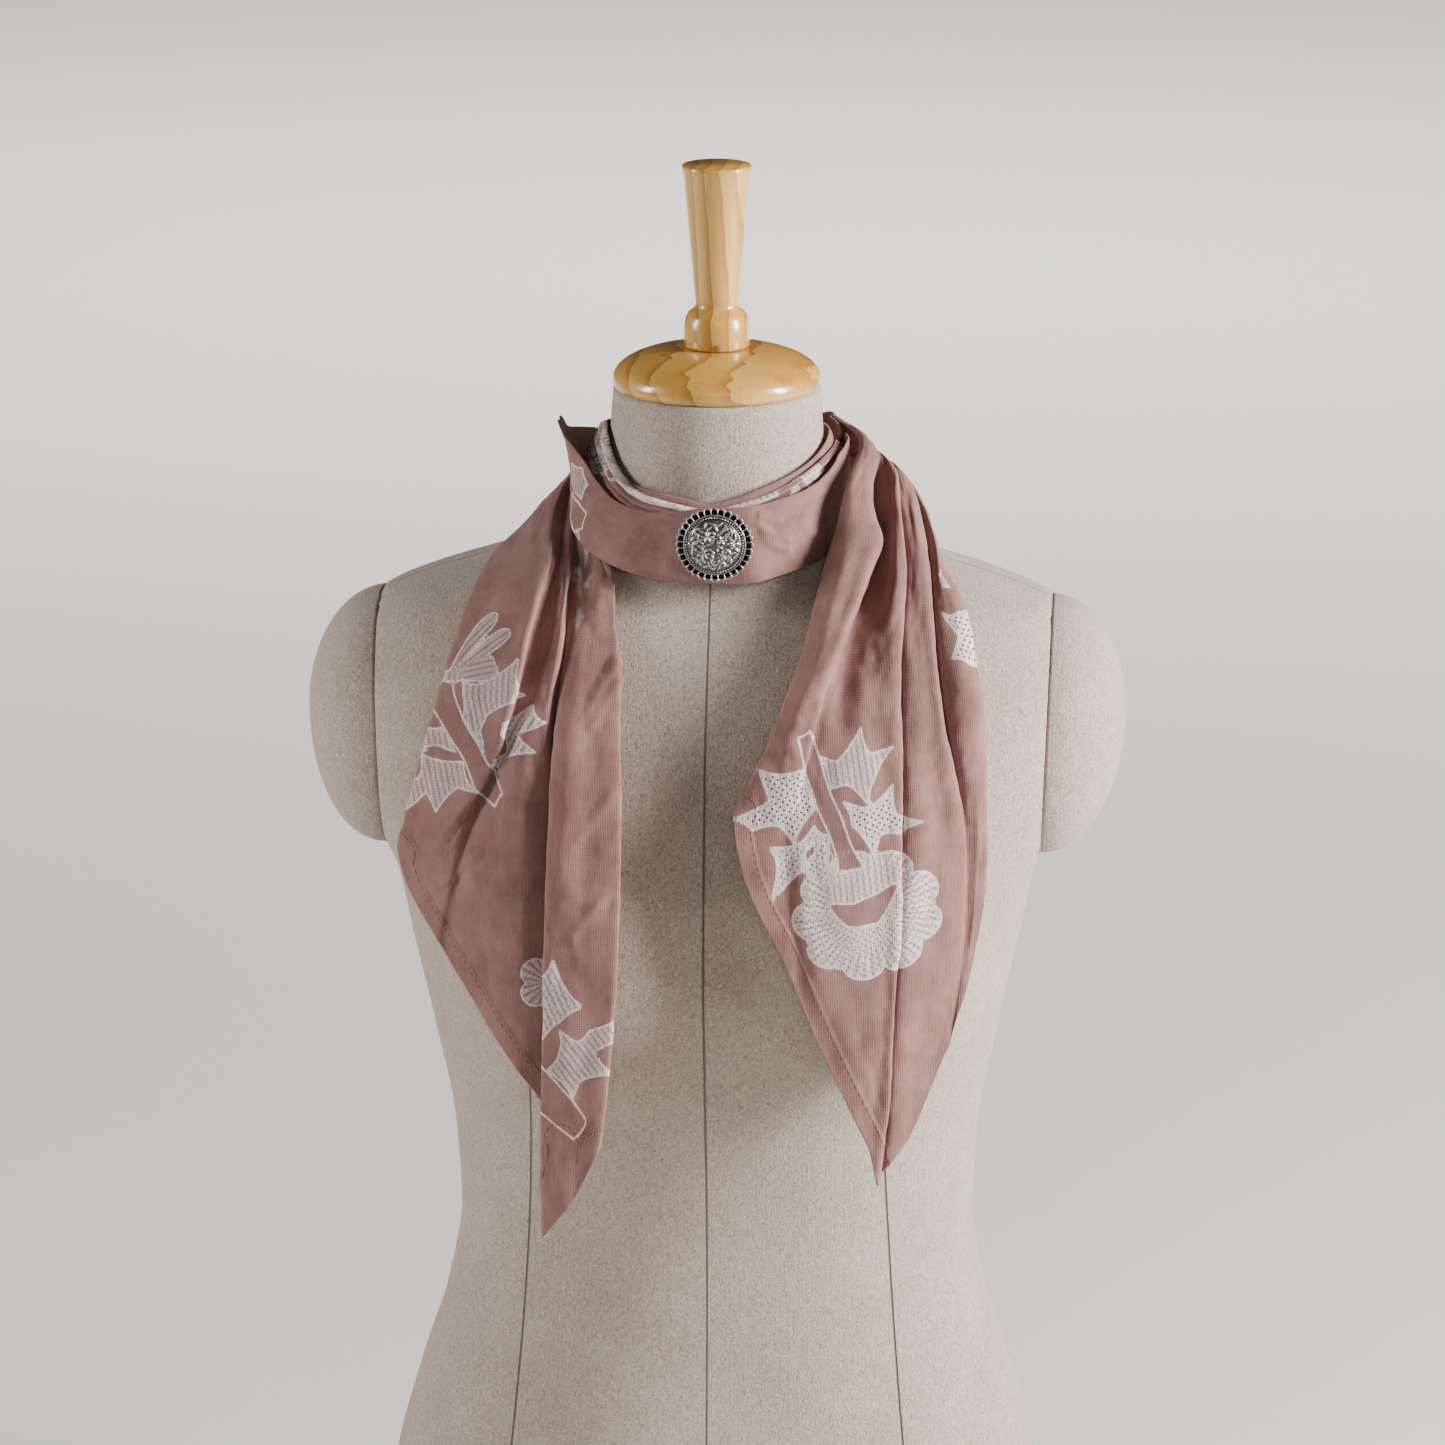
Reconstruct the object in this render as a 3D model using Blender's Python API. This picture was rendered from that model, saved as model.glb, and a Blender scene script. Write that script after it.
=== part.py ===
import math
import bpy
import bmesh
import numpy as np

for old in list(bpy.data.objects):
    bpy.data.objects.remove(old, do_unlink=True)

# Driving dimensions, in millimetres unless the name says otherwise
MM = 0.001
CLOTH = 1.3
SEAM = 0.3
CLEAR = 1.5
NECK_TOP = 705.7
BOARD_BOTTOM = 706.0
BOARD_WIDEST_Z = 710.5
BOARD_RADIUS = 55.0
BOARD_TOP = 727.0
HANDLE_TOP = 824.0
ARMHOLE_LOW = (173.5, 456.0)
ARMHOLE_HIGH = (178.0, 592.0)
CAP_CENTRE_Z = 527.0
CAP_HALF_HEIGHT = 66.6
CAP_BULGE = 42.0
BUST_LIFT = 18.0
BUST_SPREAD = 45.0
BUST_X = 80.0
BUST_Z = 405.0
BROOCH_CENTRE = (3.8, -79.5, 639.4)
BROOCH_LEAN_DEG = 4.0
BROOCH_RADIUS = 20.1
BROOCH_SCALLOPS = 32

# Dress form sections: height, half width, front depth, back depth, squareness
TORSO_SECTIONS = (
    (0.0, 176.0, 104.0, 118.0, 2.3),
    (12.0, 180.0, 107.0, 121.0, 2.3),
    (70.0, 182.0, 108.0, 122.0, 2.3),
    (104.0, 177.0, 106.0, 118.0, 2.3),
    (160.0, 162.0, 101.0, 104.0, 2.25),
    (207.0, 147.0, 97.0, 92.0, 2.2),
    (254.0, 139.5, 96.0, 88.0, 2.2),
    (300.0, 142.0, 101.0, 90.0, 2.2),
    (357.0, 152.0, 110.0, 97.0, 2.3),
    (414.0, 164.0, 119.0, 104.0, 2.4),
    (450.0, 171.5, 119.0, 107.0, 2.5),
    (475.0, 183.0, 115.0, 107.0, 2.65),
    (500.0, 190.0, 110.5, 106.0, 2.8),
    (550.0, 196.0, 97.5, 98.0, 2.8),
    (580.0, 189.0, 85.0, 86.0, 2.6),
    (592.0, 180.5, 78.0, 78.0, 2.5),
    (597.0, 172.5, 75.0, 75.0, 2.4),
    (606.0, 150.0, 69.5, 69.0, 2.3),
    (616.0, 118.0, 64.5, 65.0, 2.2),
    (626.0, 92.0, 61.0, 62.0, 2.1),
    (638.0, 70.0, 59.0, 60.0, 2.0),
    (652.0, 59.5, 57.6, 58.0, 2.0),
    (670.0, 57.0, 57.0, 57.0, 2.0),
    (690.0, 55.8, 55.8, 55.8, 2.0),
    (706.0, 54.5, 54.5, 54.5, 2.0),
)
TORSO_LEVELS = (
    0.0, 4.0, 12.0, 70.0, 104.0, 132.0, 160.0, 184.0, 207.0, 230.0, 254.0, 277.0, 300.0, 328.0,
    357.0, 385.0, 405.0, 425.0, 448.0, 456.0, 470.0, 490.0, 515.0, 540.0, 562.0, 578.0, 587.0,
    593.0, 599.0, 606.0, 613.0, 620.0, 626.0, 632.0, 638.0, 645.0, 652.0, 662.0, NECK_TOP,
)

# Wound bands: turn from the front in degrees, top, bottom, top radius, middle radius, bottom radius
FRONT_BAND = (
    (-118.0, 677.0, 660.0, 76.0, 76.4, 77.0),
    (-104.0, 682.0, 662.0, 77.0, 76.6, 77.0),
    (-90.0, 688.0, 661.0, 80.0, 77.0, 77.0),
    (-80.0, 694.5, 656.0, 84.5, 78.4, 77.4),
    (-73.0, 684.0, 642.5, 80.5, 78.4, 79.4),
    (-66.0, 673.5, 636.0, 75.5, 78.2, 81.0),
    (-55.0, 661.0, 630.0, 71.5, 77.6, 82.0),
    (-44.0, 654.3, 625.6, 70.3, 77.0, 82.0),
    (-30.0, 651.6, 621.0, 70.0, 76.0, 80.4),
    (-15.0, 653.5, 618.4, 70.0, 75.2, 77.8),
    (-2.0, 656.3, 617.8, 70.2, 75.0, 76.6),
    (9.0, 656.8, 617.4, 70.2, 75.0, 76.8),
    (20.0, 657.3, 618.7, 70.0, 75.6, 78.6),
    (33.0, 659.5, 622.0, 70.0, 75.4, 78.6),
    (48.0, 663.0, 625.5, 69.6, 74.0, 76.8),
    (60.0, 668.0, 631.0, 69.4, 72.4, 74.6),
    (72.0, 675.0, 638.0, 69.2, 71.2, 73.2),
    (88.0, 678.5, 646.0, 69.2, 70.6, 72.0),
    (104.0, 678.0, 650.0, 69.4, 70.4, 71.4),
)
NAPE = (
    (-118.4, 677.0, 658.0, 76.0, 77.0, 77.4),
    (-130.0, 676.5, 648.0, 75.6, 78.0, 78.6),
    (-150.0, 676.0, 634.0, 75.0, 78.6, 80.0),
    (-180.0, 675.0, 625.0, 74.6, 79.0, 81.0),
    (-210.0, 677.0, 634.0, 74.6, 78.6, 80.4),
    (-226.0, 680.0, 644.0, 74.0, 77.6, 80.0),
    (-233.4, 681.0, 648.0, 73.8, 77.4, 80.0),
)
INNER_WRAP = (
    (-180.0, 676.0, 652.0, 60.2, 60.8, 61.0),
    (-140.0, 678.0, 653.0, 60.2, 60.8, 61.0),
    (-100.0, 678.0, 654.0, 60.2, 60.8, 61.2),
    (-78.0, 676.0, 652.0, 60.4, 60.8, 61.2),
    (-62.0, 669.0, 648.0, 60.4, 61.0, 61.4),
    (-46.0, 661.5, 644.0, 60.6, 61.2, 61.6),
    (-30.0, 660.0, 642.0, 60.6, 61.4, 62.2),
    (-12.0, 658.4, 641.0, 60.8, 61.6, 62.6),
    (0.0, 655.6, 641.0, 61.0, 61.8, 62.8),
    (12.0, 658.6, 641.0, 60.8, 61.6, 62.6),
    (26.0, 663.4, 643.0, 60.6, 61.4, 62.2),
    (46.0, 669.0, 646.0, 60.4, 61.2, 61.6),
    (62.0, 673.5, 650.0, 60.4, 61.0, 61.4),
    (78.0, 678.0, 653.0, 60.2, 60.8, 61.2),
    (92.0, 681.5, 654.0, 60.2, 60.8, 61.2),
    (120.0, 681.0, 654.0, 60.2, 60.8, 61.2),
    (150.0, 678.0, 653.0, 60.2, 60.8, 61.0),
    (180.0, 676.0, 652.0, 60.2, 60.8, 61.0),
)
PRINTED_STRIP = (
    (-122.0, 681.0, 664.0, 65.6, 64.0, 63.6),
    (-106.0, 683.0, 664.0, 66.2, 64.0, 63.6),
    (-88.0, 687.0, 662.0, 67.6, 64.4, 63.6),
    (-72.0, 688.0, 658.0, 68.6, 64.6, 63.8),
    (-62.0, 683.0, 654.0, 67.2, 64.6, 64.0),
    (-50.0, 668.0, 650.0, 64.8, 64.4, 64.2),
    (-34.0, 659.0, 645.0, 64.6, 64.4, 64.6),
    (-16.0, 656.0, 640.0, 64.4, 64.6, 65.2),
    (0.0, 653.6, 639.0, 64.4, 64.8, 65.6),
    (16.0, 656.6, 640.0, 64.4, 64.6, 65.2),
    (34.0, 662.0, 644.0, 64.4, 64.4, 64.6),
    (52.0, 668.0, 649.0, 64.2, 64.2, 64.2),
    (72.0, 673.0, 652.0, 63.8, 63.8, 63.8),
    (92.0, 676.0, 656.0, 63.6, 63.6, 63.6),
)

# How far the hanging cloth stands out in front: height, depth at the middle, half width of the curve
DRAPE = (
    (240.0, 143.0, 206.0),
    (300.0, 146.0, 206.0),
    (400.0, 146.0, 206.0),
    (430.0, 143.0, 206.0),
    (470.0, 136.0, 206.0),
    (520.0, 122.0, 206.0),
    (560.0, 107.0, 206.0),
    (600.0, 86.0, 190.0),
    (620.0, 71.0, 142.0),
    (640.0, 60.0, 112.0),
)

# Hanging ends, a row per fold: start, side and top as (turn, radius, height), the x of the fold line
# at each height of HANG_LEVELS, the hem point as (x, z), the lift off the drape at LIFT_LEVELS
HANG_LEVELS = (620.0, 590.0, 550.0, 500.0, 450.0, 400.0, 350.0)
LIFT_LEVELS = (620.0, 560.0, 500.0, 420.0)
RIGHT_FOLDS = (
    ("inner_return", (126, 72.6, 681.4), (91, 75, 681), (61.5, 80.0, 664),
     (62, 54, 40.5), (20.5, 509), (0, -3.4, -5, -5)),
    ("inner_edge", (126, 73.9, 680.6), (90, 77.5, 683), (59.5, 82.5, 664),
     (59, 51.5, 37), (17, 507), (2, 1, 1, 0)),
    ("first_ridge", (126, 75.4, 678.5), (88, 81, 682), (60, 87, 662),
     (69.5, 61, 46), (23, 474), (12, 7, 3, 0)),
    ("first_slope", (126, 76.6, 675), (87, 84.5, 678.5), (66, 91, 660),
     (83, 70, 58, 47), (44, 430), (9, 5, 2, 0)),
    ("dark_gap", (126, 77.2, 671.5), (87, 87, 675), (75, 88.5, 652),
     (86, 77, 69, 65, 60), (63, 387), (-7, -5, -1, 0)),
    ("middle_rise", (126, 77.8, 668), (86, 89.5, 672), (73, 96, 655),
     (93, 90, 86, 83, 80, 79), (80, 348), (2, 1, 0, 0)),
    ("crease_ridge", (126, 78.2, 665), (83, 93, 671), (68.5, 103, 654),
     (103, 101, 101, 102.5, 102, 100, 97), (92, 311), (11, 7, 3.5, 2)),
    ("right_slope", (126, 78.5, 662), (84.5, 95.5, 666.5), (73.5, 105.5, 647.5),
     (107.5, 108, 110, 111, 110, 107, 102), (97.5, 318), (2, -1, 0, 0.5)),
    ("second_ridge", (126, 78.8, 659), (83.5, 98.5, 663.5), (72, 111, 647),
     (112, 115.5, 119, 121, 120, 117), (109, 336), (8, 4, 2, 0.5)),
    ("long_valley", (126, 79.1, 656), (85, 100, 659), (75.5, 113, 639.5),
     (114.5, 119.5, 124, 129, 130), (124, 372), (0, -3, -1.5, 0)),
    ("outer_ridge", (126, 79.5, 653), (85, 103, 655.5), (73.5, 118, 642),
     (120, 130, 136, 140, 140), (135, 405), (9, 5, 3, 1)),
    ("outer_edge", (126, 80.0, 650), (85, 104.5, 650.5), (73.5, 120.5, 635.5),
     (123.5, 136.5, 143, 146), (146, 468), (6, 0, 0, 0)),
    ("outer_return", (126, 80.2, 647.4), (85.5, 103.6, 647), (74.4, 119, 632),
     (119.5, 133.5, 139.8, 143), (143.4, 465.5), (0, -6, -6, -6)),
)
LEFT_FOLDS = (
    ("outer_return", (-127.4, 72.4, 652), (-98.5, 88.6, 637), (-81, 103.0, 627.5),
     (-111.5, -128, -139.4, -153), (-159, 474.5), (-6, -6, -6, -6)),
    ("outer_edge", (-127, 72.8, 654.5), (-98, 90, 640.5), (-81, 104.5, 631),
     (-116.5, -131, -142.5, -156), (-162, 477), (0, 0, 0, 0)),
    ("outer_slope", (-126, 72.6, 657), (-97, 86, 646.5), (-82, 98, 637),
     (-108, -121, -132, -148), (-157, 460), (4, 3, 1, 0)),
    ("panel_ridge", (-125, 72.2, 659.5), (-97, 81.5, 652), (-82.5, 92, 642),
     (-97, -109, -121, -138), (-150, 448), (7, 4, 2, 0)),
    ("panel_edge", (-123.5, 71.8, 661.5), (-97, 76.8, 657.6), (-81, 85, 645.5),
     (-85, -92, -103.5, -123), (-140, 434), (10, 5, 3, 1.5)),
    ("deep_gap", (-122, 71.4, 663), (-96.5, 74.4, 655.5), (-80.5, 80.5, 641.5),
     (-80.5, -87.5, -98, -115, -125), (-126, 414), (-4, -3, -0.5, 0)),
    ("middle_left", (-120, 71.0, 664), (-95, 73.2, 656.6), (-78.5, 79, 641),
     (-78, -83, -91, -102, -109), (-112, 393), (-1, 1, 1, 0)),
    ("middle_face", (-118, 70.8, 665), (-93.5, 72.4, 657.6), (-76, 78.4, 641),
     (-76, -79, -86, -91, -94, -96), (-97, 371), (0, 3.4, 1.4, -0.4)),
    ("middle_ridge", (-115.5, 70.5, 665.8), (-92, 71.8, 658.4), (-73.4, 77.6, 640),
     (-74, -76, -81, -82, -80, -79), (-79.5, 349), (0, 3.6, 0, -1.2)),
    ("tuck_low", (-113, 70.3, 666.5), (-90, 71.2, 658.8), (-70.2, 77.0, 638),
     (-73, -74.6, -77.4, -74.5, -71.5, -71), (-72, 335), (-7, -4.5, -2.4, -1.8)),
    ("tuck_high", (-110, 70.1, 667), (-87.5, 70.8, 659.0), (-67, 77.4, 636.2),
     (-71.4, -73, -75.2, -73, -70.6, -70), (-71, 331), (-9, -4.6, 0.4, 1.4)),
    ("edge_low", (-107, 70.0, 667.4), (-85, 70.4, 659.2), (-63.8, 78.0, 634.2),
     (-69.4, -71.8, -75.6, -78, -79.6, -80.4, -82), (-82, 284), (-9, -2, 2.0, 2.2)),
    ("edge_high", (-104, 69.9, 667.8), (-82, 70.2, 659.6), (-60.6, 78.6, 632.4),
     (-67.4, -70.4, -76, -79.2, -80.4, -81.4, -83), (-83, 280), (-8.4, -0.4, 4.7, 5.0)),
    ("strip_fold", (-100, 69.8, 669.5), (-77, 70, 661), (-55, 79.0, 629.6),
     (-62.5, -63.5, -67.5, -72, -74, -75, -77), (-77, 287), (-7, 1.4, 6, 5.6)),
    ("strip_face", (-94, 69.8, 671.5), (-70.5, 70, 661), (-49, 79.2, 626.8),
     (-56, -55.5, -56.5, -58.5, -61, -62, -65), (-67, 300), (-4, -1, 3, 4)),
    ("inner_edge", (-86, 69.8, 673), (-62.5, 70, 659), (-43.6, 79.0, 624.6),
     (-51, -46.5, -43.5, -42, -42, -45, -49), (-52, 333), (-3, -3, 0, 1)),
    ("inner_return", (-83.6, 69.8, 674), (-60.6, 70, 658.6), (-42.2, 77.4, 624.4),
     (-50.4, -48.0, -46.6, -45.2, -45.2, -48.2, -52.2), (-55, 330.5), (-6, -7.0, -5, -4)),
)


# Smooth curve through the rows of a table
def rowCurve(xs, ys, at):
    xs = np.asarray(xs, float)
    ys = np.asarray(ys, float)
    at = np.clip(np.asarray(at, float), xs[0], xs[-1])
    step = np.diff(xs)
    slope = np.diff(ys) / step
    tangent = np.zeros(len(xs))
    tangent[0] = slope[0]
    tangent[-1] = slope[-1]
    for i in range(1, len(xs) - 1):
        if slope[i - 1] * slope[i] > 0.0:
            w1 = 2.0 * step[i] + step[i - 1]
            w2 = step[i] + 2.0 * step[i - 1]
            tangent[i] = (w1 + w2) / (w1 / slope[i - 1] + w2 / slope[i])
    k = np.clip(np.searchsorted(xs, at, side="right") - 1, 0, len(xs) - 2)
    t = (at - xs[k]) / step[k]
    h00 = (1.0 + 2.0 * t) * (1.0 - t) ** 2
    h10 = t * (1.0 - t) ** 2
    h01 = t * t * (3.0 - 2.0 * t)
    h11 = t * t * (t - 1.0)
    return h00 * ys[k] + h10 * step[k] * tangent[k] + h01 * ys[k + 1] + h11 * step[k] * tangent[k + 1]


def columns(table):
    return [np.array([row[i] for row in table], float) for i in range(len(table[0]))]


TORSO = columns(TORSO_SECTIONS)
DRAPES = columns(DRAPE)


def torsoSection(z):
    return [float(rowCurve(TORSO[0], TORSO[i], z)) for i in range(1, 5)]


# Distance of the form's skin from the neck axis in one direction
def torsoRadius(turn, z):
    half, front, back, power = torsoSection(z)
    depth = front if math.cos(turn) > 0.0 else back
    a = (abs(math.sin(turn)) / half) ** power
    b = (abs(math.cos(turn)) / depth) ** power
    return (a + b) ** (-1.0 / power)


def bust(x, z):
    across = abs(x) - BUST_X
    up = z - BUST_Z
    return BUST_LIFT * math.exp(-(across * across + up * up) / (2.0 * BUST_SPREAD ** 2))


def torsoFront(x, z):
    half, front, back, power = torsoSection(z)
    t = abs(x) / half
    if t >= 1.0:
        return 0.0
    return front * (1.0 - t ** power) ** (1.0 / power) + bust(x, z)


def drapeDepth(x, z):
    depth = float(rowCurve(DRAPES[0], DRAPES[1], z))
    half = float(rowCurve(DRAPES[0], DRAPES[2], z))
    t = min(abs(x) / half, 0.98)
    return depth * (1.0 - t ** 2.2) ** (1.0 / 2.2)


def ringPoint(turnDeg, radius, z):
    turn = math.radians(turnDeg)
    return (radius * math.sin(turn), -radius * math.cos(turn), z)


def paint(obj, name, color, roughness, metallic):
    mat = bpy.data.materials.new(name)
    mat.use_nodes = True
    shader = mat.node_tree.nodes["Principled BSDF"]
    shader.inputs["Base Color"].default_value = (color[0], color[1], color[2], 1.0)
    shader.inputs["Roughness"].default_value = roughness
    shader.inputs["Metallic"].default_value = metallic
    obj.data.materials.append(mat)


JERSEY = ("jersey", (0.52, 0.46, 0.40), 0.9, 0.0)
WOOD = ("varnished_wood", (0.60, 0.38, 0.16), 0.3, 0.0)
COTTON = ("rose_cotton", (0.33, 0.19, 0.18), 0.85, 0.0)
PRINT = ("printed_cotton", (0.62, 0.52, 0.50), 0.85, 0.0)
SILVER = ("dark_silver", (0.42, 0.41, 0.40), 0.35, 1.0)


def addSolid(name, points, faces, look, smooth=True):
    mesh = bpy.data.meshes.new(name)
    mesh.from_pydata([(p[0] * MM, p[1] * MM, p[2] * MM) for p in points], [], faces)
    work = bmesh.new()
    work.from_mesh(mesh)
    bmesh.ops.recalc_face_normals(work, faces=work.faces)
    work.to_mesh(mesh)
    work.free()
    for face in mesh.polygons:
        face.use_smooth = smooth
    obj = bpy.data.objects.new(name, mesh)
    bpy.context.scene.collection.objects.link(obj)
    paint(obj, *look)
    return obj


# Closed body from rings of equal length, with flat ends
def ringBody(name, rings, look, capStart=True, capEnd=True):
    count = len(rings[0])
    points = [p for ring in rings for p in ring]
    faces = []
    for i in range(len(rings) - 1):
        for j in range(count):
            k = (j + 1) % count
            faces.append((i * count + j, i * count + k, (i + 1) * count + k, (i + 1) * count + j))
    if capStart:
        faces.append(tuple(range(count)))
    if capEnd:
        start = (len(rings) - 1) * count
        faces.append(tuple(start + j for j in range(count)))
    return addSolid(name, points, faces, look)


def turned(name, profile, segments, look):
    rings = []
    for radius, z in profile:
        ring = []
        for j in range(segments):
            a = 2.0 * math.pi * j / segments
            ring.append((radius * math.cos(a), radius * math.sin(a), z))
        rings.append(ring)
    return ringBody(name, rings, look)


# Cloth wall of even thickness on both sides of a grid of points
def clothWall(name, grid, look, closed=False):
    grid = np.asarray(grid, float)
    rows, cols = grid.shape[0], grid.shape[1]
    if closed:
        across = np.roll(grid, -1, axis=1) - np.roll(grid, 1, axis=1)
    else:
        across = np.gradient(grid, axis=1)
    down = np.gradient(grid, axis=0)
    normal = np.cross(across, down)
    normal /= np.maximum(np.linalg.norm(normal, axis=2, keepdims=True), 1e-9)
    front = grid + normal * CLOTH * 0.5
    rear = grid - normal * CLOTH * 0.5
    points = [tuple(p) for p in front.reshape(-1, 3)] + [tuple(p) for p in rear.reshape(-1, 3)]
    half = rows * cols
    faces = []
    span = cols if closed else cols - 1
    for i in range(rows - 1):
        for j in range(span):
            a = i * cols + j
            b = i * cols + (j + 1) % cols
            c = b + cols
            d = a + cols
            faces.append((a, b, c, d))
            faces.append((half + d, half + c, half + b, half + a))
    for i in (0, rows - 1):
        for j in range(span):
            a = i * cols + j
            b = i * cols + (j + 1) % cols
            faces.append((a, half + a, half + b, b))
    if not closed:
        for j in (0, cols - 1):
            for i in range(rows - 1):
                a = i * cols + j
                faces.append((a, a + cols, half + a + cols, half + a))
    return addSolid(name, points, faces, look)


# Grid of a band wound round the neck, with soft rolls along it
def bandGrid(table, turns, rows, rolls=0, rollHeight=0.0, flat=None):
    cols = columns(table)
    grid = []
    order = np.argsort(cols[0])
    for i in range(rows):
        v = i / (rows - 1)
        line = []
        for turn in turns:
            top, bottom, r0, r1, r2 = [
                float(rowCurve(cols[0][order], cols[k][order], turn)) for k in range(1, 6)]
            radius = r0 * (1 - v) * (1 - 2 * v) + r1 * 4 * v * (1 - v) + r2 * v * (2 * v - 1)
            z = top + (bottom - top) * v
            if rolls:
                radius += rollHeight * (abs(math.sin(math.pi * rolls * v)) - 0.5)
            turnRad = math.radians(turn)
            if flat is not None:
                reach = (radius * math.sin(turnRad) - flat[0]) / flat[1]
                hold = max(0.0, 1.0 - reach * reach) ** 2 if abs(turn) < 60 else 0.0
                radius += hold * (1.0 / math.cos(turnRad) - 1.0) * radius if abs(turn) < 60 else 0.0
            radius = max(radius, torsoRadius(turnRad, z) + CLEAR)
            line.append(ringPoint(turn, radius, z))
        grid.append(line)
    return grid


# Curve through points in space: a set count of steps to each of the first points, then even shares
def spaceCurve(points, firstSteps, rest):
    points = np.asarray(points, float)
    gaps = np.sqrt(np.linalg.norm(np.diff(points, axis=0), axis=1))
    knots = np.concatenate(([0.0], np.cumsum(np.maximum(gaps, 1e-3))))
    at = []
    for k, count in enumerate(firstSteps):
        at.extend(np.linspace(knots[k], knots[k + 1], count, endpoint=False))
    tail = np.linspace(knots[len(firstSteps)], knots[-1], 200)
    fine = fillCurve(points, knots, tail)
    run = np.concatenate(([0.0], np.cumsum(np.linalg.norm(np.diff(fine, axis=0), axis=1))))
    at.extend(np.interp(np.linspace(0.0, run[-1], rest), run, tail))
    return fillCurve(points, knots, np.array(at))


def fillCurve(points, knots, at):
    step = np.diff(knots)[:, None]
    slope = np.diff(points, axis=0) / step
    tangent = np.zeros_like(points)
    tangent[0] = slope[0]
    tangent[-1] = slope[-1]
    tangent[1:-1] = (slope[:-1] * step[1:] + slope[1:] * step[:-1]) / (step[1:] + step[:-1])
    k = np.clip(np.searchsorted(knots, at, side="right") - 1, 0, len(knots) - 2)
    h = step[k]
    t = ((at - knots[k])[:, None]) / h
    h00 = (1.0 + 2.0 * t) * (1.0 - t) ** 2
    h10 = t * (1.0 - t) ** 2
    h01 = t * t * (3.0 - 2.0 * t)
    h11 = t * t * (t - 1.0)
    return h00 * points[k] + h10 * h * tangent[k] + h01 * points[k + 1] + h11 * h * tangent[k + 1]


def hangPoint(x, z, lifts):
    lift = float(rowCurve(LIFT_LEVELS[::-1], lifts[::-1], z))
    skin = torsoFront(x, z)
    out = max(max(drapeDepth(x, z), skin + 5.5) + lift, skin + CLEAR + 0.8)
    return (x, -out, z)


# One line down a fold, from the nape to the hem
def foldLine(row, firstSteps, rest):
    name, start, side, top, hang, end, lifts = row
    points = [ringPoint(*start), ringPoint(*side), ringPoint(*top)]
    for x, z in zip(hang, HANG_LEVELS):
        if z > end[1] + 12.0:
            points.append(hangPoint(x, z, lifts))
    points.append(hangPoint(end[0], end[1], lifts))
    return spaceCurve(points, firstSteps, rest)


def tailGrid(folds, firstSteps, rest, perFold):
    lines = np.stack([foldLine(row, firstSteps, rest) for row in folds], axis=1)
    grid = []
    spans = np.linspace(0.0, len(folds) - 1.0, (len(folds) - 1) * perFold + 1)
    for row in lines:
        gaps = np.sqrt(np.linalg.norm(np.diff(row, axis=0), axis=1))
        knots = np.concatenate(([0.0], np.cumsum(np.maximum(gaps, 0.3))))
        at = np.interp(spans, np.arange(len(folds)), knots)
        grid.append(fillCurve(row, knots, at))
    return np.array(grid)


def armholeX(z):
    low, high = ARMHOLE_LOW, ARMHOLE_HIGH
    return low[0] + (z - low[1]) * (high[0] - low[0]) / (high[1] - low[1])


def buildTorso():
    rings = []
    for z in TORSO_LEVELS:
        half, front, back, power = torsoSection(z)
        seam = armholeX(z)
        cut = ARMHOLE_LOW[1] - 5.0 < z < ARMHOLE_HIGH[1] + 4.0
        corner = 0.3
        if cut and half > seam:
            corner = max(corner, math.acos((seam / half) ** (power / 2.0)))
        arc = [corner + (math.pi - 2.0 * corner) * i / 17 for i in range(18)]
        side = [math.pi - corner + 2.0 * corner * (i + 1) / 7 for i in range(6)]
        angles = arc + side + [a + math.pi for a in arc] + [a + math.pi for a in side]
        ring = []
        for a in angles:
            c, s = math.cos(a), math.sin(a)
            x = half * math.copysign(abs(c) ** (2.0 / power), c)
            depth = back if s > 0.0 else front
            y = depth * math.copysign(abs(s) ** (2.0 / power), s)
            if s < 0.0:
                y -= bust(x, z) * min(1.0, -2.0 * s)
            if cut:
                x = max(-seam, min(seam, x))
            ring.append((x, y, z))
        rings.append(ring)
    ringBody("form_torso", rings, JERSEY)


# Depth of the armhole edge on the torso at one height
def armholeDepth(z, forward):
    half, front, back, power = torsoSection(z)
    t = min(1.0, armholeX(z) / half)
    return (front if forward else back) * (1.0 - t ** power) ** (1.0 / power)


def buildArmCap(name, sign):
    lean = (ARMHOLE_HIGH[0] - ARMHOLE_LOW[0]) / (ARMHOLE_HIGH[1] - ARMHOLE_LOW[1])
    rings = []
    for share in (1.0, 0.985, 0.94, 0.86, 0.74, 0.58, 0.38, 0.18):
        ring = []
        rise = CAP_BULGE * (1.0 - share ** 2.0) ** (1.0 / 2.0)
        for j in range(24):
            a = 2.0 * math.pi * (j + 0.5) / 24
            up = CAP_HALF_HEIGHT * math.sin(a)
            depth = armholeDepth(CAP_CENTRE_Z + up, math.cos(a) < 0.0)
            y = share * math.copysign(depth, math.cos(a))
            z = CAP_CENTRE_Z + share * up + 3.0 * (1.0 - share)
            x = armholeX(z) + SEAM + rise
            ring.append((sign * x, y, z - rise * lean))
        rings.append(ring)
    ringBody(name, rings, JERSEY)


def buildNeckBoard():
    profile = [(53.8, BOARD_BOTTOM), (BOARD_RADIUS - 0.2, BOARD_BOTTOM + 1.8)]
    rise = BOARD_TOP - BOARD_WIDEST_Z
    for i in range(7):
        a = 0.5 * math.pi * i / 6
        profile.append((17.0 + (BOARD_RADIUS - 17.0) * math.cos(a), BOARD_WIDEST_Z + rise * math.sin(a)))
    turned("form_neck_board", profile, 48, WOOD)


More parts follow.
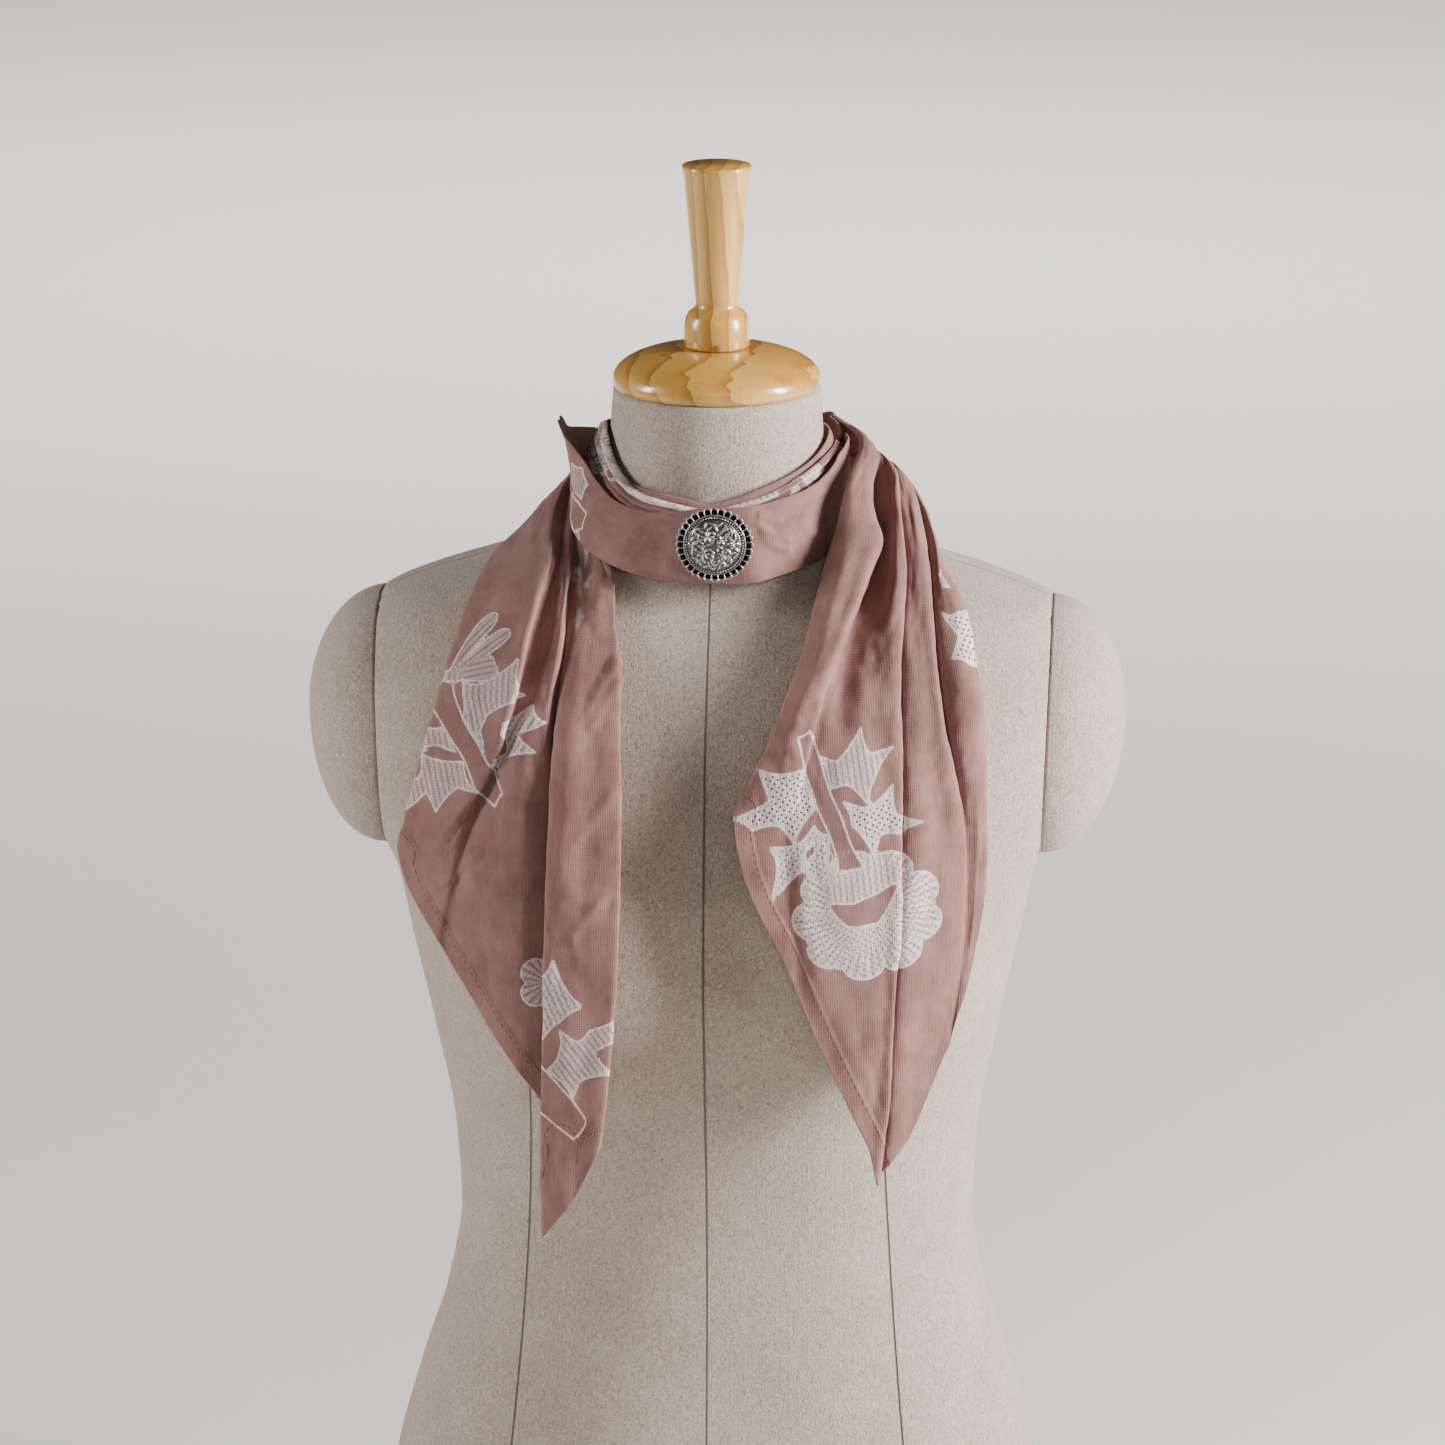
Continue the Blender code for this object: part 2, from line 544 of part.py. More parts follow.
def buildHandle():
    base = BOARD_TOP + SEAM
    profile = [
        (16.2, base), (17.25, base + 1.2), (17.25, 739.0), (16.6, 743.0), (14.6, 746.4), (11.6, 748.0),
        (11.1, 750.0), (17.4, 820.0), (18.25, 822.6), (17.9, HANDLE_TOP)]
    turned("form_handle", profile, 32, WOOD)


# Place a point of the brooch, given across, up and out from its back centre
def broochPoint(across, up, out):
    lean = math.radians(BROOCH_LEAN_DEG)
    y = BROOCH_CENTRE[1] - out * math.cos(lean) - up * math.sin(lean)
    z = BROOCH_CENTRE[2] + up * math.cos(lean) - out * math.sin(lean)
    return (BROOCH_CENTRE[0] + across, y, z)


def buildBroochRim():
    profile = (
        (1.0, 0.0), (1.0, 1.7), (0.95, 2.1), (0.91, 1.3), (0.835, 1.3),
        (0.8, 2.1), (0.745, 1.6), (0.3, 1.6), (0.3, 0.0))
    count = BROOCH_SCALLOPS * 2
    rings = []
    for share, out in profile:
        ring = []
        for j in range(count):
            a = 2.0 * math.pi * j / count
            radius = BROOCH_RADIUS * share
            if share > 0.92:
                radius += 0.35 if j % 2 == 0 else -0.35
            ring.append(broochPoint(radius * math.cos(a), radius * math.sin(a), out))
        rings.append(ring)
    rings.append(rings[0])
    points = [p for ring in rings[:-1] for p in ring]
    faces = []
    total = len(rings) - 1
    for i in range(total):
        for j in range(count):
            k = (j + 1) % count
            n = (i + 1) % total
            faces.append((i * count + j, i * count + k, n * count + k, n * count + j))
    addSolid("brooch_rim", points, faces, SILVER)


def buildBroochDome():
    radius = 14.2
    rings = []
    base = 1.6 + SEAM
    for share in (0.98, 1.0, 0.93, 0.82, 0.7, 0.56, 0.42, 0.28, 0.14):
        ring = []
        for j in range(40):
            a = 2.0 * math.pi * j / 40
            rise = 0.5 + 2.6 * math.sqrt(max(0.0, 1.0 - share * share))
            leaf = 0.45 * max(0.0, math.cos(5.0 * a)) * math.sin(math.pi * min(1.0, share * 1.05))
            out = base if len(rings) == 0 else base + rise + leaf
            ring.append(broochPoint(radius * share * math.cos(a), radius * share * math.sin(a), out))
        rings.append(ring)
    ringBody("brooch_dome", rings, SILVER)


def buildBroochPin():
    outline = (
        (-15.0, -0.3), (-15.0, -2.3), (15.0, -2.3), (15.0, -0.3),
        (13.2, -0.3), (13.2, -1.2), (-13.2, -1.2), (-13.2, -0.3))
    low = [broochPoint(across, 3.2, out) for across, out in outline]
    high = [broochPoint(across, 4.4, out) for across, out in outline]
    points = low + high
    faces = []
    for j in range(8):
        k = (j + 1) % 8
        faces.append((j, k, 8 + k, 8 + j))
    for start in (0, 8):
        faces.append((start, start + 1, start + 6, start + 7))
        faces.append((start + 1, start + 2, start + 5, start + 6))
        faces.append((start + 2, start + 3, start + 4, start + 5))
    addSolid("brooch_pin", points, faces, SILVER, smooth=False)


def steps(low, high, count):
    return [low + (high - low) * i / (count - 1) for i in range(count)]


buildTorso()
buildArmCap("form_arm_cap_right", 1.0)
buildArmCap("form_arm_cap_left", -1.0)
buildNeckBoard()
buildHandle()
flatPatch = (BROOCH_CENTRE[0], 30.0)
clothWall("scarf_front_band", bandGrid(FRONT_BAND, steps(-118.0, 104.0, 44), 7, flat=flatPatch), COTTON)
clothWall("scarf_nape", bandGrid(NAPE, steps(-233.4, -118.4, 22), 13, rolls=3, rollHeight=2.6), COTTON)
innerTurns = steps(-180.0, 180.0, 49)[:-1]
clothWall("scarf_inner_wrap", bandGrid(INNER_WRAP, innerTurns, 7, rolls=3, rollHeight=1.4), COTTON, closed=True)
clothWall("scarf_printed_strip", bandGrid(PRINTED_STRIP, steps(-122.0, 92.0, 40), 4), PRINT)
clothWall("scarf_right_tail", tailGrid(RIGHT_FOLDS, (4, 4, 3), 13, 2), COTTON)
clothWall("scarf_left_tail", tailGrid(LEFT_FOLDS, (3, 3, 3), 13, 2), COTTON)
buildBroochRim()
buildBroochDome()
buildBroochPin()
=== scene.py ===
import math
import bpy
import bmesh
import numpy as np
from mathutils import Vector, Matrix, noise


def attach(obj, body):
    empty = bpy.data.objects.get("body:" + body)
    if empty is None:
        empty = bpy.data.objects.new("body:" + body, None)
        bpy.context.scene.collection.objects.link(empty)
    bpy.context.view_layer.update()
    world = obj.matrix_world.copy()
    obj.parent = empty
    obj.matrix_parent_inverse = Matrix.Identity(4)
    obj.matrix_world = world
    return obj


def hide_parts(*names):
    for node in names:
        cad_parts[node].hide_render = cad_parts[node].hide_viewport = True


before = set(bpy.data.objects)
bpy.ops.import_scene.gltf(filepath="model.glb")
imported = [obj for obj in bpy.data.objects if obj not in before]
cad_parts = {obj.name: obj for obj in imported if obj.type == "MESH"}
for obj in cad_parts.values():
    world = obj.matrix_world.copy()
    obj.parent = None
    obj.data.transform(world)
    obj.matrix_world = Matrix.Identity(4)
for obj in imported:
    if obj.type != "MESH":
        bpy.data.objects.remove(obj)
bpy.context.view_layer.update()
print("frame loaded")

mm = 0.001


# sRGB hex to the linear colour that a shader works with
def linearColour(code):
    parts = [int(code[i:i + 2], 16) / 255.0 for i in (0, 2, 4)]
    return tuple(p / 12.92 if p <= 0.04045 else ((p + 0.055) / 1.055) ** 2.4 for p in parts) + (1.0,)


# inputs by name or in order; a node given as an input is linked from its first output; stops: colours of a ramp
def addNode(tree, kind, settings=(), inputs=(), stops=()):
    node = tree.nodes.new("ShaderNode" + kind)
    for key, value in dict(settings).items():
        setattr(node, key, value)
    for key, value in inputs.items() if isinstance(inputs, dict) else enumerate(inputs):
        if isinstance(value, bpy.types.Node):
            value = value.outputs[0]
        if isinstance(value, bpy.types.NodeSocket):
            tree.links.new(value, node.inputs[key])
        else:
            node.inputs[key].default_value = value
    for k, (position, colour) in enumerate(stops):
        mark = node.color_ramp.elements[k] if k < 2 else node.color_ramp.elements.new(position)
        mark.position, mark.color = position, colour
    return node


def newMaterial(name, values):
    mat = bpy.data.materials.new(name)
    mat.use_nodes = True
    shader = mat.node_tree.nodes["Principled BSDF"]
    for key, value in values.items():
        shader.inputs[key].default_value = value
    return mat, mat.node_tree, shader


# cubic between two points a and b with their tangents, over a step
def blend(t, step, a, aTangent, b, bTangent):
    h00 = (1.0 + 2.0 * t) * (1.0 - t) ** 2
    h10 = t * (1.0 - t) ** 2
    h01 = t * t * (3.0 - 2.0 * t)
    h11 = t * t * (t - 1.0)
    return h00 * a + h10 * step * aTangent + h01 * b + h11 * step * bTangent


# smooth monotone curve through table rows
def rowCurve(xs, ys, at):
    xs = np.asarray(xs, float)
    ys = np.asarray(ys, float)
    at = np.clip(np.asarray(at, float), xs[0], xs[-1])
    step = np.diff(xs)
    slope = np.diff(ys) / step
    tangent = np.zeros(len(xs))
    tangent[0] = slope[0]
    tangent[-1] = slope[-1]
    for i in range(1, len(xs) - 1):
        if slope[i - 1] * slope[i] > 0.0:
            w1 = 2.0 * step[i] + step[i - 1]
            w2 = step[i] + 2.0 * step[i - 1]
            tangent[i] = (w1 + w2) / (w1 / slope[i - 1] + w2 / slope[i])
    k = np.clip(np.searchsorted(xs, at, side="right") - 1, 0, len(xs) - 2)
    t = (at - xs[k]) / step[k]
    return blend(t, step[k], ys[k], tangent[k], ys[k + 1], tangent[k + 1])


def columns(table):
    return [np.array([row[i] for row in table], float) for i in range(len(table[0]))]


def smooth(low, high, value):
    t = np.clip((np.asarray(value, float) - low) / (high - low), 0.0, 1.0)
    return t * t * (3.0 - 2.0 * t)


# dress form, in mm
form = {
    # height, half width, front depth, back depth, squareness
    "sections": (
        (0, 176, 104, 118, 2.3), (12, 180, 107, 121, 2.3), (70, 182, 108, 122, 2.3),
        (104, 177, 106, 118, 2.3), (160, 162, 101, 104, 2.25), (207, 147, 97, 92, 2.2),
        (254, 139.5, 96, 88, 2.2), (300, 142, 101, 90, 2.2), (357, 152, 110, 97, 2.3),
        (414, 164, 119, 104, 2.4), (450, 171.5, 119, 107, 2.5), (475, 183, 115, 107, 2.65),
        (500, 190, 110.5, 106, 2.8), (550, 196, 97.5, 98, 2.8), (580, 189, 85, 86, 2.6),
        (592, 180.5, 78, 78, 2.5), (597, 172.5, 75, 75, 2.4), (606, 150, 69.5, 69, 2.3),
        (616, 118, 64.5, 65, 2.2), (626, 92, 61, 62, 2.1), (638, 70, 59, 60, 2),
        (652, 59.5, 57.6, 58, 2), (670, 57, 57, 57, 2), (690, 55.8, 55.8, 55.8, 2),
        (706, 54.5, 54.5, 54.5, 2)),
    # rows of vertices: from and to height, count
    "levels": (
        (0.0, 1.0, 2), (3.0, 6.0, 2), (12.0, 12.0, 1), (18.0, 440.0, 80), (446.0, 640.0, 76),
        (644.0, 705.7, 26)),
    "armholeLow": (173.5, 456.0),
    "armholeHigh": (178.0, 592.0),
    "capCentre": 527.0,
    "capHalfHeight": 66.6,
    "capBulge": 42.0,
    "capRaise": 3.0,
    "capRings": 40,
    "capAround": 96,
    "bustLift": 18.0,
    "bustSpread": 45.0,
    "bustPlace": (80.0, 405.0),
    # points round the front or back, and across an armhole
    "around": (96, 14),
    "footRound": 2.0,
    "seam": 0.3,
}
formCols = columns(form["sections"])


def torsoSection(z):
    return [rowCurve(formCols[0], formCols[i], z) for i in range(1, 5)]


def torsoRadius(turn, z):
    half, front, back, power = torsoSection(z)
    depth = np.where(np.cos(turn) > 0.0, front, back)
    a = (np.abs(np.sin(turn)) / half) ** power
    b = (np.abs(np.cos(turn)) / depth) ** power
    return (a + b) ** (-1.0 / power)


def bust(x, z):
    across = np.abs(x) - form["bustPlace"][0]
    up = z - form["bustPlace"][1]
    return form["bustLift"] * np.exp(-(across * across + up * up) / (2.0 * form["bustSpread"] ** 2))


def torsoFront(x, z):
    half, front, back, power = torsoSection(z)
    t = np.clip(np.abs(x) / half, 0.0, 1.0)
    return np.where(t < 1.0, front * (1.0 - t ** power) ** (1.0 / power) + bust(x, z), 0.0)


def armholeX(z):
    low, high = form["armholeLow"], form["armholeHigh"]
    return low[0] + (z - low[1]) * (high[0] - low[0]) / (high[1] - low[1])


def linkPiece(name, bm):
    mesh = bpy.data.meshes.new(name)
    bm.to_mesh(mesh)
    bm.free()
    mesh.shade_smooth()
    obj = bpy.data.objects.new(name, mesh)
    bpy.context.scene.collection.objects.link(obj)
    return obj


# a grid made by create_grid, each vertex moved to its place; rows run upwards, columns to the right
def gridPiece(name, points, flat=None, weld=False):
    rows, cols = points.shape[:2]
    bm = bmesh.new()
    bmesh.ops.create_grid(bm, x_segments=cols - 1, y_segments=rows - 1, size=1.0)
    layer = bm.loops.layers.uv.new("flatCloth")
    seat = {}
    for vert in bm.verts:
        j = int(round((vert.co.x + 1.0) * 0.5 * (cols - 1)))
        i = int(round((vert.co.y + 1.0) * 0.5 * (rows - 1)))
        seat[vert] = (i, j)
    if flat is not None:
        for face in bm.faces:
            for loop in face.loops:
                i, j = seat[loop.vert]
                loop[layer].uv = (flat[i, j, 0] * mm, flat[i, j, 1] * mm)
    for vert, (i, j) in seat.items():
        vert.co = Vector(points[i, j]) * mm
    order = [seat[vert] for vert in bm.verts]
    if weld:
        bmesh.ops.remove_doubles(bm, verts=bm.verts, dist=1e-6)
        bmesh.ops.recalc_face_normals(bm, faces=bm.faces)
    return linkPiece(name, bm), order


# fills the open ends of a tube
def closeEnds(obj):
    bm = bmesh.new()
    bm.from_mesh(obj.data)
    bmesh.ops.holes_fill(bm, edges=[e for e in bm.edges if e.is_boundary], sides=0)
    bmesh.ops.recalc_face_normals(bm, faces=bm.faces)
    bm.to_mesh(obj.data)
    bm.free()


# turns a profile of (radius, height) into a full round
def spinProfile(bm, profile, steps, weld, closed=False):
    verts = [bm.verts.new((r, 0.0, z)) for r, z in profile]
    nexts = verts[1:] + verts[:1] if closed else verts[1:]
    edges = [bm.edges.new(pair) for pair in zip(verts, nexts)]
    bmesh.ops.spin(
        bm, geom=verts + edges, cent=(0, 0, 0), axis=(0, 0, 1), angle=2.0 * math.pi, steps=steps, use_merge=True)
    bmesh.ops.remove_doubles(bm, verts=bm.verts, dist=weld)


# spin and bevel list what they make in another order each run, so it is put in order by place
def sortElements(bm):
    way = Vector((0.5377, 1.8339, -0.7586))
    bm.verts.sort(key=lambda vert: vert.co.dot(way))
    bm.verts.index_update()
    count = len(bm.verts)

    def rank(part):
        first = sorted(vert.index for vert in part.verts)[:3]
        return sum(index * count ** (2 - k) for k, index in enumerate(first))
    bm.edges.sort(key=rank)
    bm.faces.sort(key=rank)


def setAttribute(obj, name, order, values):
    layer = obj.data.attributes.new(name, "FLOAT", "POINT")
    layer.data.foreach_set("value", np.array([values[i, j] for i, j in order], np.float32))


def addShell(obj, thickness):
    shell = obj.modifiers.new("shell", "SOLIDIFY")
    shell.thickness = thickness * mm
    shell.offset = 0.0
    shell.use_rim = True


def finishPiece(obj, material, node):
    obj.data.materials.append(material)
    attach(obj, "root")
    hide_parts(node)
    print("made", obj.name)


softStep = {"interpolation_type": "SMOOTHSTEP"}
colourMix = {"data_type": "RGBA", "blend_type": "MIX"}
add = {"operation": "ADD"}
subtract = {"operation": "SUBTRACT"}
multiply = {"operation": "MULTIPLY"}
multiplyAdd = {"operation": "MULTIPLY_ADD"}
absolute = {"operation": "ABSOLUTE"}
minimum = {"operation": "MINIMUM"}
maximum = {"operation": "MAXIMUM"}
above = {"operation": "GREATER_THAN"}
pingPong = {"operation": "PINGPONG"}


# knitted cotton jersey, brushed: short crinkled nap over fine upright ribs, no gloss
def makeJersey():
    mat, tree, shader = newMaterial("brushedJersey", {
        "Roughness": 0.95, "Specular IOR Level": 0.2, "Sheen Weight": 0.25, "Sheen Roughness": 0.5})
    coords = addNode(tree, "TexCoord")
    place = coords.outputs["Object"]
    split = addNode(tree, "SeparateXYZ", inputs=[place])
    stretch = addNode(tree, "Mapping", inputs={"Vector": place, "Scale": (1.0, 1.0, 0.62)})
    nap = addNode(tree, "TexNoise", inputs={
        "Vector": stretch, "Scale": 760.0, "Detail": 3.0, "Roughness": 0.66, "Distortion": 1.6})
    cloud = addNode(tree, "TexNoise", inputs={"Vector": place, "Scale": 26.0, "Detail": 4.0, "Roughness": 0.6})
    ramp = addNode(tree, "ValToRGB", inputs=[nap], stops=(
        (0.32, linearColour("978475")), (0.66, linearColour("d8c8ba"))))
    shade = addNode(tree, "ValToRGB", inputs=[cloud], stops=(
        (0.3, (0.86, 0.85, 0.84, 1.0)), (0.7, (1.0, 1.0, 1.0, 1.0))))
    tint = addNode(tree, "Mix", {"data_type": "RGBA", "blend_type": "MULTIPLY"}, {0: 1.0, 6: ramp, 7: shade})
    # seams: centre front and back, a shaped one on each side of them, shoulder line
    side = addNode(tree, "Math", absolute, [split.outputs["X"]])
    rise = addNode(tree, "Math", subtract, [split.outputs["Z"], 0.4])
    bend = addNode(tree, "Math", multiply, [rise, rise])
    bow = addNode(tree, "Math", multiplyAdd, [bend, 0.2, 0.092])
    princess = addNode(tree, "Math", subtract, [side, bow])
    princess = addNode(tree, "Math", absolute, [princess])
    centre = addNode(tree, "Math", subtract, [split.outputs["X"], 0.0004])
    centre = addNode(tree, "Math", absolute, [centre])
    depth = addNode(tree, "Math", absolute, [split.outputs["Y"]])
    low = addNode(tree, "Math", {"operation": "LESS_THAN"}, [split.outputs["Z"], 0.56])
    wide = addNode(tree, "Math", above, [side, 0.1765])
    shoulder = addNode(tree, "Math", add, [depth, low])
    shoulder = addNode(tree, "Math", add, [shoulder, wide])
    nearest = addNode(tree, "Math", minimum, [princess, centre])
    neck = addNode(tree, "Math", above, [split.outputs["Z"], 0.625])
    nearest = addNode(tree, "Math", add, [nearest, neck])
    nearest = addNode(tree, "Math", minimum, [nearest, shoulder])
    groove = addNode(tree, "MapRange", softStep, [nearest, 0.0001, 0.0010, 0.0, 1.0])
    dark = addNode(tree, "Mix", colourMix, {0: groove, 6: linearColour("6c6259"), 7: tint.outputs[2]})
    tree.links.new(dark.outputs[2], shader.inputs["Base Color"])
    ribs = addNode(tree, "TexWave", {"wave_type": "BANDS", "bands_direction": "X"}, {
        "Vector": place, "Scale": 130.0, "Distortion": 2.2, "Detail": 2.0, "Detail Scale": 3.0})
    mixed = addNode(tree, "Math", multiplyAdd, [ribs.outputs["Fac"], 0.07, nap])
    full = addNode(tree, "Math", multiplyAdd, [groove, 1.3, mixed])
    bump = addNode(tree, "Bump", inputs={"Strength": 0.75, "Distance": 0.0012, "Height": full})
    tree.links.new(bump.outputs[0], shader.inputs["Normal"])
    return mat


# plain weave cotton, dyed dusty rose: matt, slightly uneven dye, faint slub along both threads
def makeCotton(name, printed=False):
    mat, tree, shader = newMaterial(name, {
        "Roughness": 0.88, "Specular IOR Level": 0.25, "Sheen Weight": 0.35, "Sheen Roughness": 0.45,
        "Sheen Tint": linearColour("f3d3cf")})
    uv = addNode(tree, "UVMap", {"uv_map": "flatCloth"})
    cloud = addNode(tree, "TexNoise", inputs={"Vector": uv, "Scale": 34.0, "Detail": 5.0, "Roughness": 0.65})
    slub = addNode(tree, "Mapping", inputs={
        "Vector": uv, "Rotation": (0.0, 0.0, 0.3), "Scale": (1.0, 0.16, 1.0)})
    grain = addNode(tree, "TexNoise", inputs={"Vector": slub, "Scale": 900.0, "Detail": 2.0, "Roughness": 0.6})
    dye = addNode(tree, "Math", multiplyAdd, [grain, 0.35, cloud])
    ramp = addNode(tree, "ValToRGB", inputs=[dye], stops=(
        (0.45, linearColour("7c5852")), (0.95, linearColour("a27972"))))
    colour = ramp.outputs[0]
    # thread spacing taken as 0.35 mm, drawn at 0.9 mm so that it shows
    warp = addNode(tree, "TexWave", {"wave_type": "BANDS", "bands_direction": "X"}, {
        "Vector": uv, "Scale": 350.0, "Distortion": 0.8, "Detail": 1.0})
    weft = addNode(tree, "TexWave", {"wave_type": "BANDS", "bands_direction": "Y"}, {
        "Vector": uv, "Scale": 350.0, "Distortion": 0.8, "Detail": 1.0})
    weave = addNode(tree, "Math", multiply, [warp.outputs["Fac"], weft.outputs["Fac"]])
    height = addNode(tree, "Math", multiplyAdd, [grain, 0.9, weave])
    # faint creases left from folding and wear
    bent = addNode(tree, "TexNoise", {"noise_type": "RIDGED_MULTIFRACTAL"}, {
        "Vector": uv, "Scale": 26.0, "Detail": 5.0, "Roughness": 0.55, "Distortion": 0.8})
    height = addNode(tree, "Math", multiplyAdd, [bent, 1.5, height])
    if printed:
        colour = addPrint(tree, uv.outputs[0], colour)
        hem = addNode(tree, "Attribute", {"attribute_name": "hemEdge"})
        run = addNode(tree, "Attribute", {"attribute_name": "hemRun"})
        off = addNode(tree, "Math", subtract, [hem.outputs["Fac"], 7.6])
        off = addNode(tree, "Math", absolute, [off])
        line = addNode(tree, "MapRange", softStep, [off, 0.25, 0.6, 0.75, 0.0])
        beat = addNode(tree, "Math", pingPong, [run.outputs["Fac"], 1.9])
        dash = addNode(tree, "Math", above, [beat, 0.8])
        stitch = addNode(tree, "Math", multiply, [line, dash])
        sewn = addNode(tree, "Mix", colourMix, {0: stitch, 6: colour, 7: linearColour("60403a")})
        colour = sewn.outputs[2]
        height = addNode(tree, "Math", multiplyAdd, [stitch, -1.2, height])
    bump = addNode(tree, "Bump", inputs={"Strength": 0.5, "Distance": 0.00035, "Height": height})
    tree.links.new(colour, shader.inputs["Base Color"])
    tree.links.new(bump.outputs[0], shader.inputs["Normal"])
    return mat


# block print in white: outlines of beads, filling of beaded rows with gaps, small dark pin dots
def addPrint(tree, uv, ground):
    marks = {}
    for key in ("printFill", "printStem", "printRay", "printDense", "printAcross", "printAlong", "printSmear"):
        marks[key] = addNode(tree, "Attribute", {"attribute_name": key}).outputs["Fac"]
    worn = addNode(tree, "TexNoise", inputs={"Vector": uv, "Scale": 160.0, "Detail": 4.0, "Roughness": 0.7})
    dots = addNode(tree, "TexVoronoi", {"feature": "F1", "voronoi_dimensions": "2D"}, {
        "Vector": uv, "Scale": 640.0, "Randomness": 0.4})
    bead = addNode(tree, "MapRange", softStep, [dots.outputs["Distance"], 0.3, 0.75, 1.0, 0.3])
    outline = 0.0
    for key, half in (("printFill", 0.75), ("printStem", 0.8), ("printRay", 0.45)):
        away = addNode(tree, "Math", absolute, [marks[key]])
        edge = addNode(tree, "MapRange", softStep, [away, half * 0.4, half, 1.0, 0.0])
        outline = addNode(tree, "Math", maximum, [edge, outline])
    outline = addNode(tree, "Math", multiply, [outline, bead])
    # rows 3.1 mm apart, ticks along them 1.3 mm apart
    lane = addNode(tree, "Math", pingPong, [marks["printAcross"], 1.55])
    row = addNode(tree, "MapRange", softStep, [lane, 0.7, 1.25, 1.0, 0.0])
    beat = addNode(tree, "Math", pingPong, [marks["printAlong"], 0.65])
    tick = addNode(tree, "MapRange", softStep, [beat, 0.15, 0.55, 1.0, 0.45])
    rows = addNode(tree, "Math", multiply, [row, tick])
    strong = addNode(tree, "MapRange", inputs=[marks["printDense"], 0.0, 0.5, 0.3, 1.0])
    rows = addNode(tree, "Math", multiply, [rows, strong])
    floor = addNode(tree, "MapRange", inputs=[marks["printDense"], 0.0, 1.0, 0.04, 0.62])
    rest = addNode(tree, "Math", subtract, [1.0, floor])
    body = addNode(tree, "Math", multiplyAdd, [rows, rest, floor])
    rub = addNode(tree, "MapRange", inputs=[worn, 0.3, 0.7, 0.64, 1.0])
    filled = addNode(tree, "MapRange", softStep, [marks["printFill"], -0.2, 0.3, 0.0, 1.0])
    fill = addNode(tree, "Math", multiply, [filled, body])
    cover = addNode(tree, "Math", maximum, [outline, fill])
    cover = addNode(tree, "Math", multiply, [cover, rub])
    patch = addNode(tree, "MapRange", softStep, [worn, 0.32, 0.62, 0.3, 1.0])
    smear = addNode(tree, "Math", multiply, [patch, marks["printSmear"]])
    cover = addNode(tree, "Math", maximum, [cover, smear])
    white = addNode(tree, "Mix", colourMix, {0: cover, 6: ground, 7: linearColour("efe2df")})
    # pin dots on a slanted net, 2.7 mm apart
    net = addNode(tree, "Mapping", inputs={"Vector": uv, "Rotation": (0.0, 0.0, math.radians(31.0))})
    pins = addNode(tree, "TexVoronoi", {"feature": "F1", "voronoi_dimensions": "2D"}, {
        "Vector": net, "Scale": 370.0, "Randomness": 0.25})
    pin = addNode(tree, "MapRange", softStep, [pins.outputs["Distance"], 0.14, 0.28, 1.0, 0.0])
    deep = addNode(tree, "MapRange", softStep, [marks["printFill"], 0.8, 1.6, 0.0, 1.0])
    held = addNode(tree, "Math", multiply, [pin, deep])
    held = addNode(tree, "Math", multiply, [held, marks["printDense"]])
    dotted = addNode(tree, "Mix", colourMix, {0: held, 6: white.outputs[2], 7: linearColour("3f322f")})
    return dotted.outputs[2]


# rubberwood under gloss varnish: yellow tan, brown growth lines, dark flecks
def makeWood(name, along):
    mat, tree, shader = newMaterial(name, {"Roughness": 0.32, "Coat Weight": 0.8, "Coat Roughness": 0.12})
    coords = addNode(tree, "TexCoord")
    place = addNode(tree, "Mapping", inputs={
        "Vector": coords.outputs["Object"], "Location": (0.035, 0.012, 0.0), "Rotation": (0.0, 0.25, 0.5),
        "Scale": along})
    rings = addNode(tree, "TexWave", {"wave_type": "RINGS", "rings_direction": "Z", "wave_profile": "SAW"}, {
        "Vector": place, "Scale": 42.0, "Distortion": 3.2, "Detail": 3.0, "Detail Scale": 1.4,
        "Detail Roughness": 0.6})
    ramp = addNode(tree, "ValToRGB", inputs=[rings.outputs["Fac"]], stops=(
        (0.0, linearColour("dcab58")), (1.0, linearColour("ac742c")), (0.75, linearColour("cb9340"))))
    fine = addNode(tree, "Mapping", inputs={"Vector": coords.outputs["Object"], "Scale": (1.0, 1.0, 0.06)})
    pores = addNode(tree, "TexNoise", inputs={"Vector": fine, "Scale": 900.0, "Detail": 2.0})
    streak = addNode(tree, "MapRange", softStep, [pores, 0.6, 0.75, 0.0, 0.5])
    grained = addNode(tree, "Mix", colourMix, {0: streak, 6: ramp, 7: linearColour("8c5a20")})
    knots = addNode(tree, "TexVoronoi", {"feature": "F1"}, {
        "Vector": coords.outputs["Object"], "Scale": 38.0, "Randomness": 1.0})
    knot = addNode(tree, "MapRange", softStep, [knots.outputs["Distance"], 0.05, 0.13, 0.8, 0.0])
    spotted = addNode(tree, "Mix", colourMix, {0: knot, 6: grained.outputs[2], 7: linearColour("6b4520")})
    tree.links.new(spotted.outputs[2], shader.inputs["Base Color"])
    bump = addNode(tree, "Bump", inputs={"Strength": 0.12, "Distance": 0.0003, "Height": pores})
    tree.links.new(bump.outputs[0], shader.inputs["Normal"])
    return mat


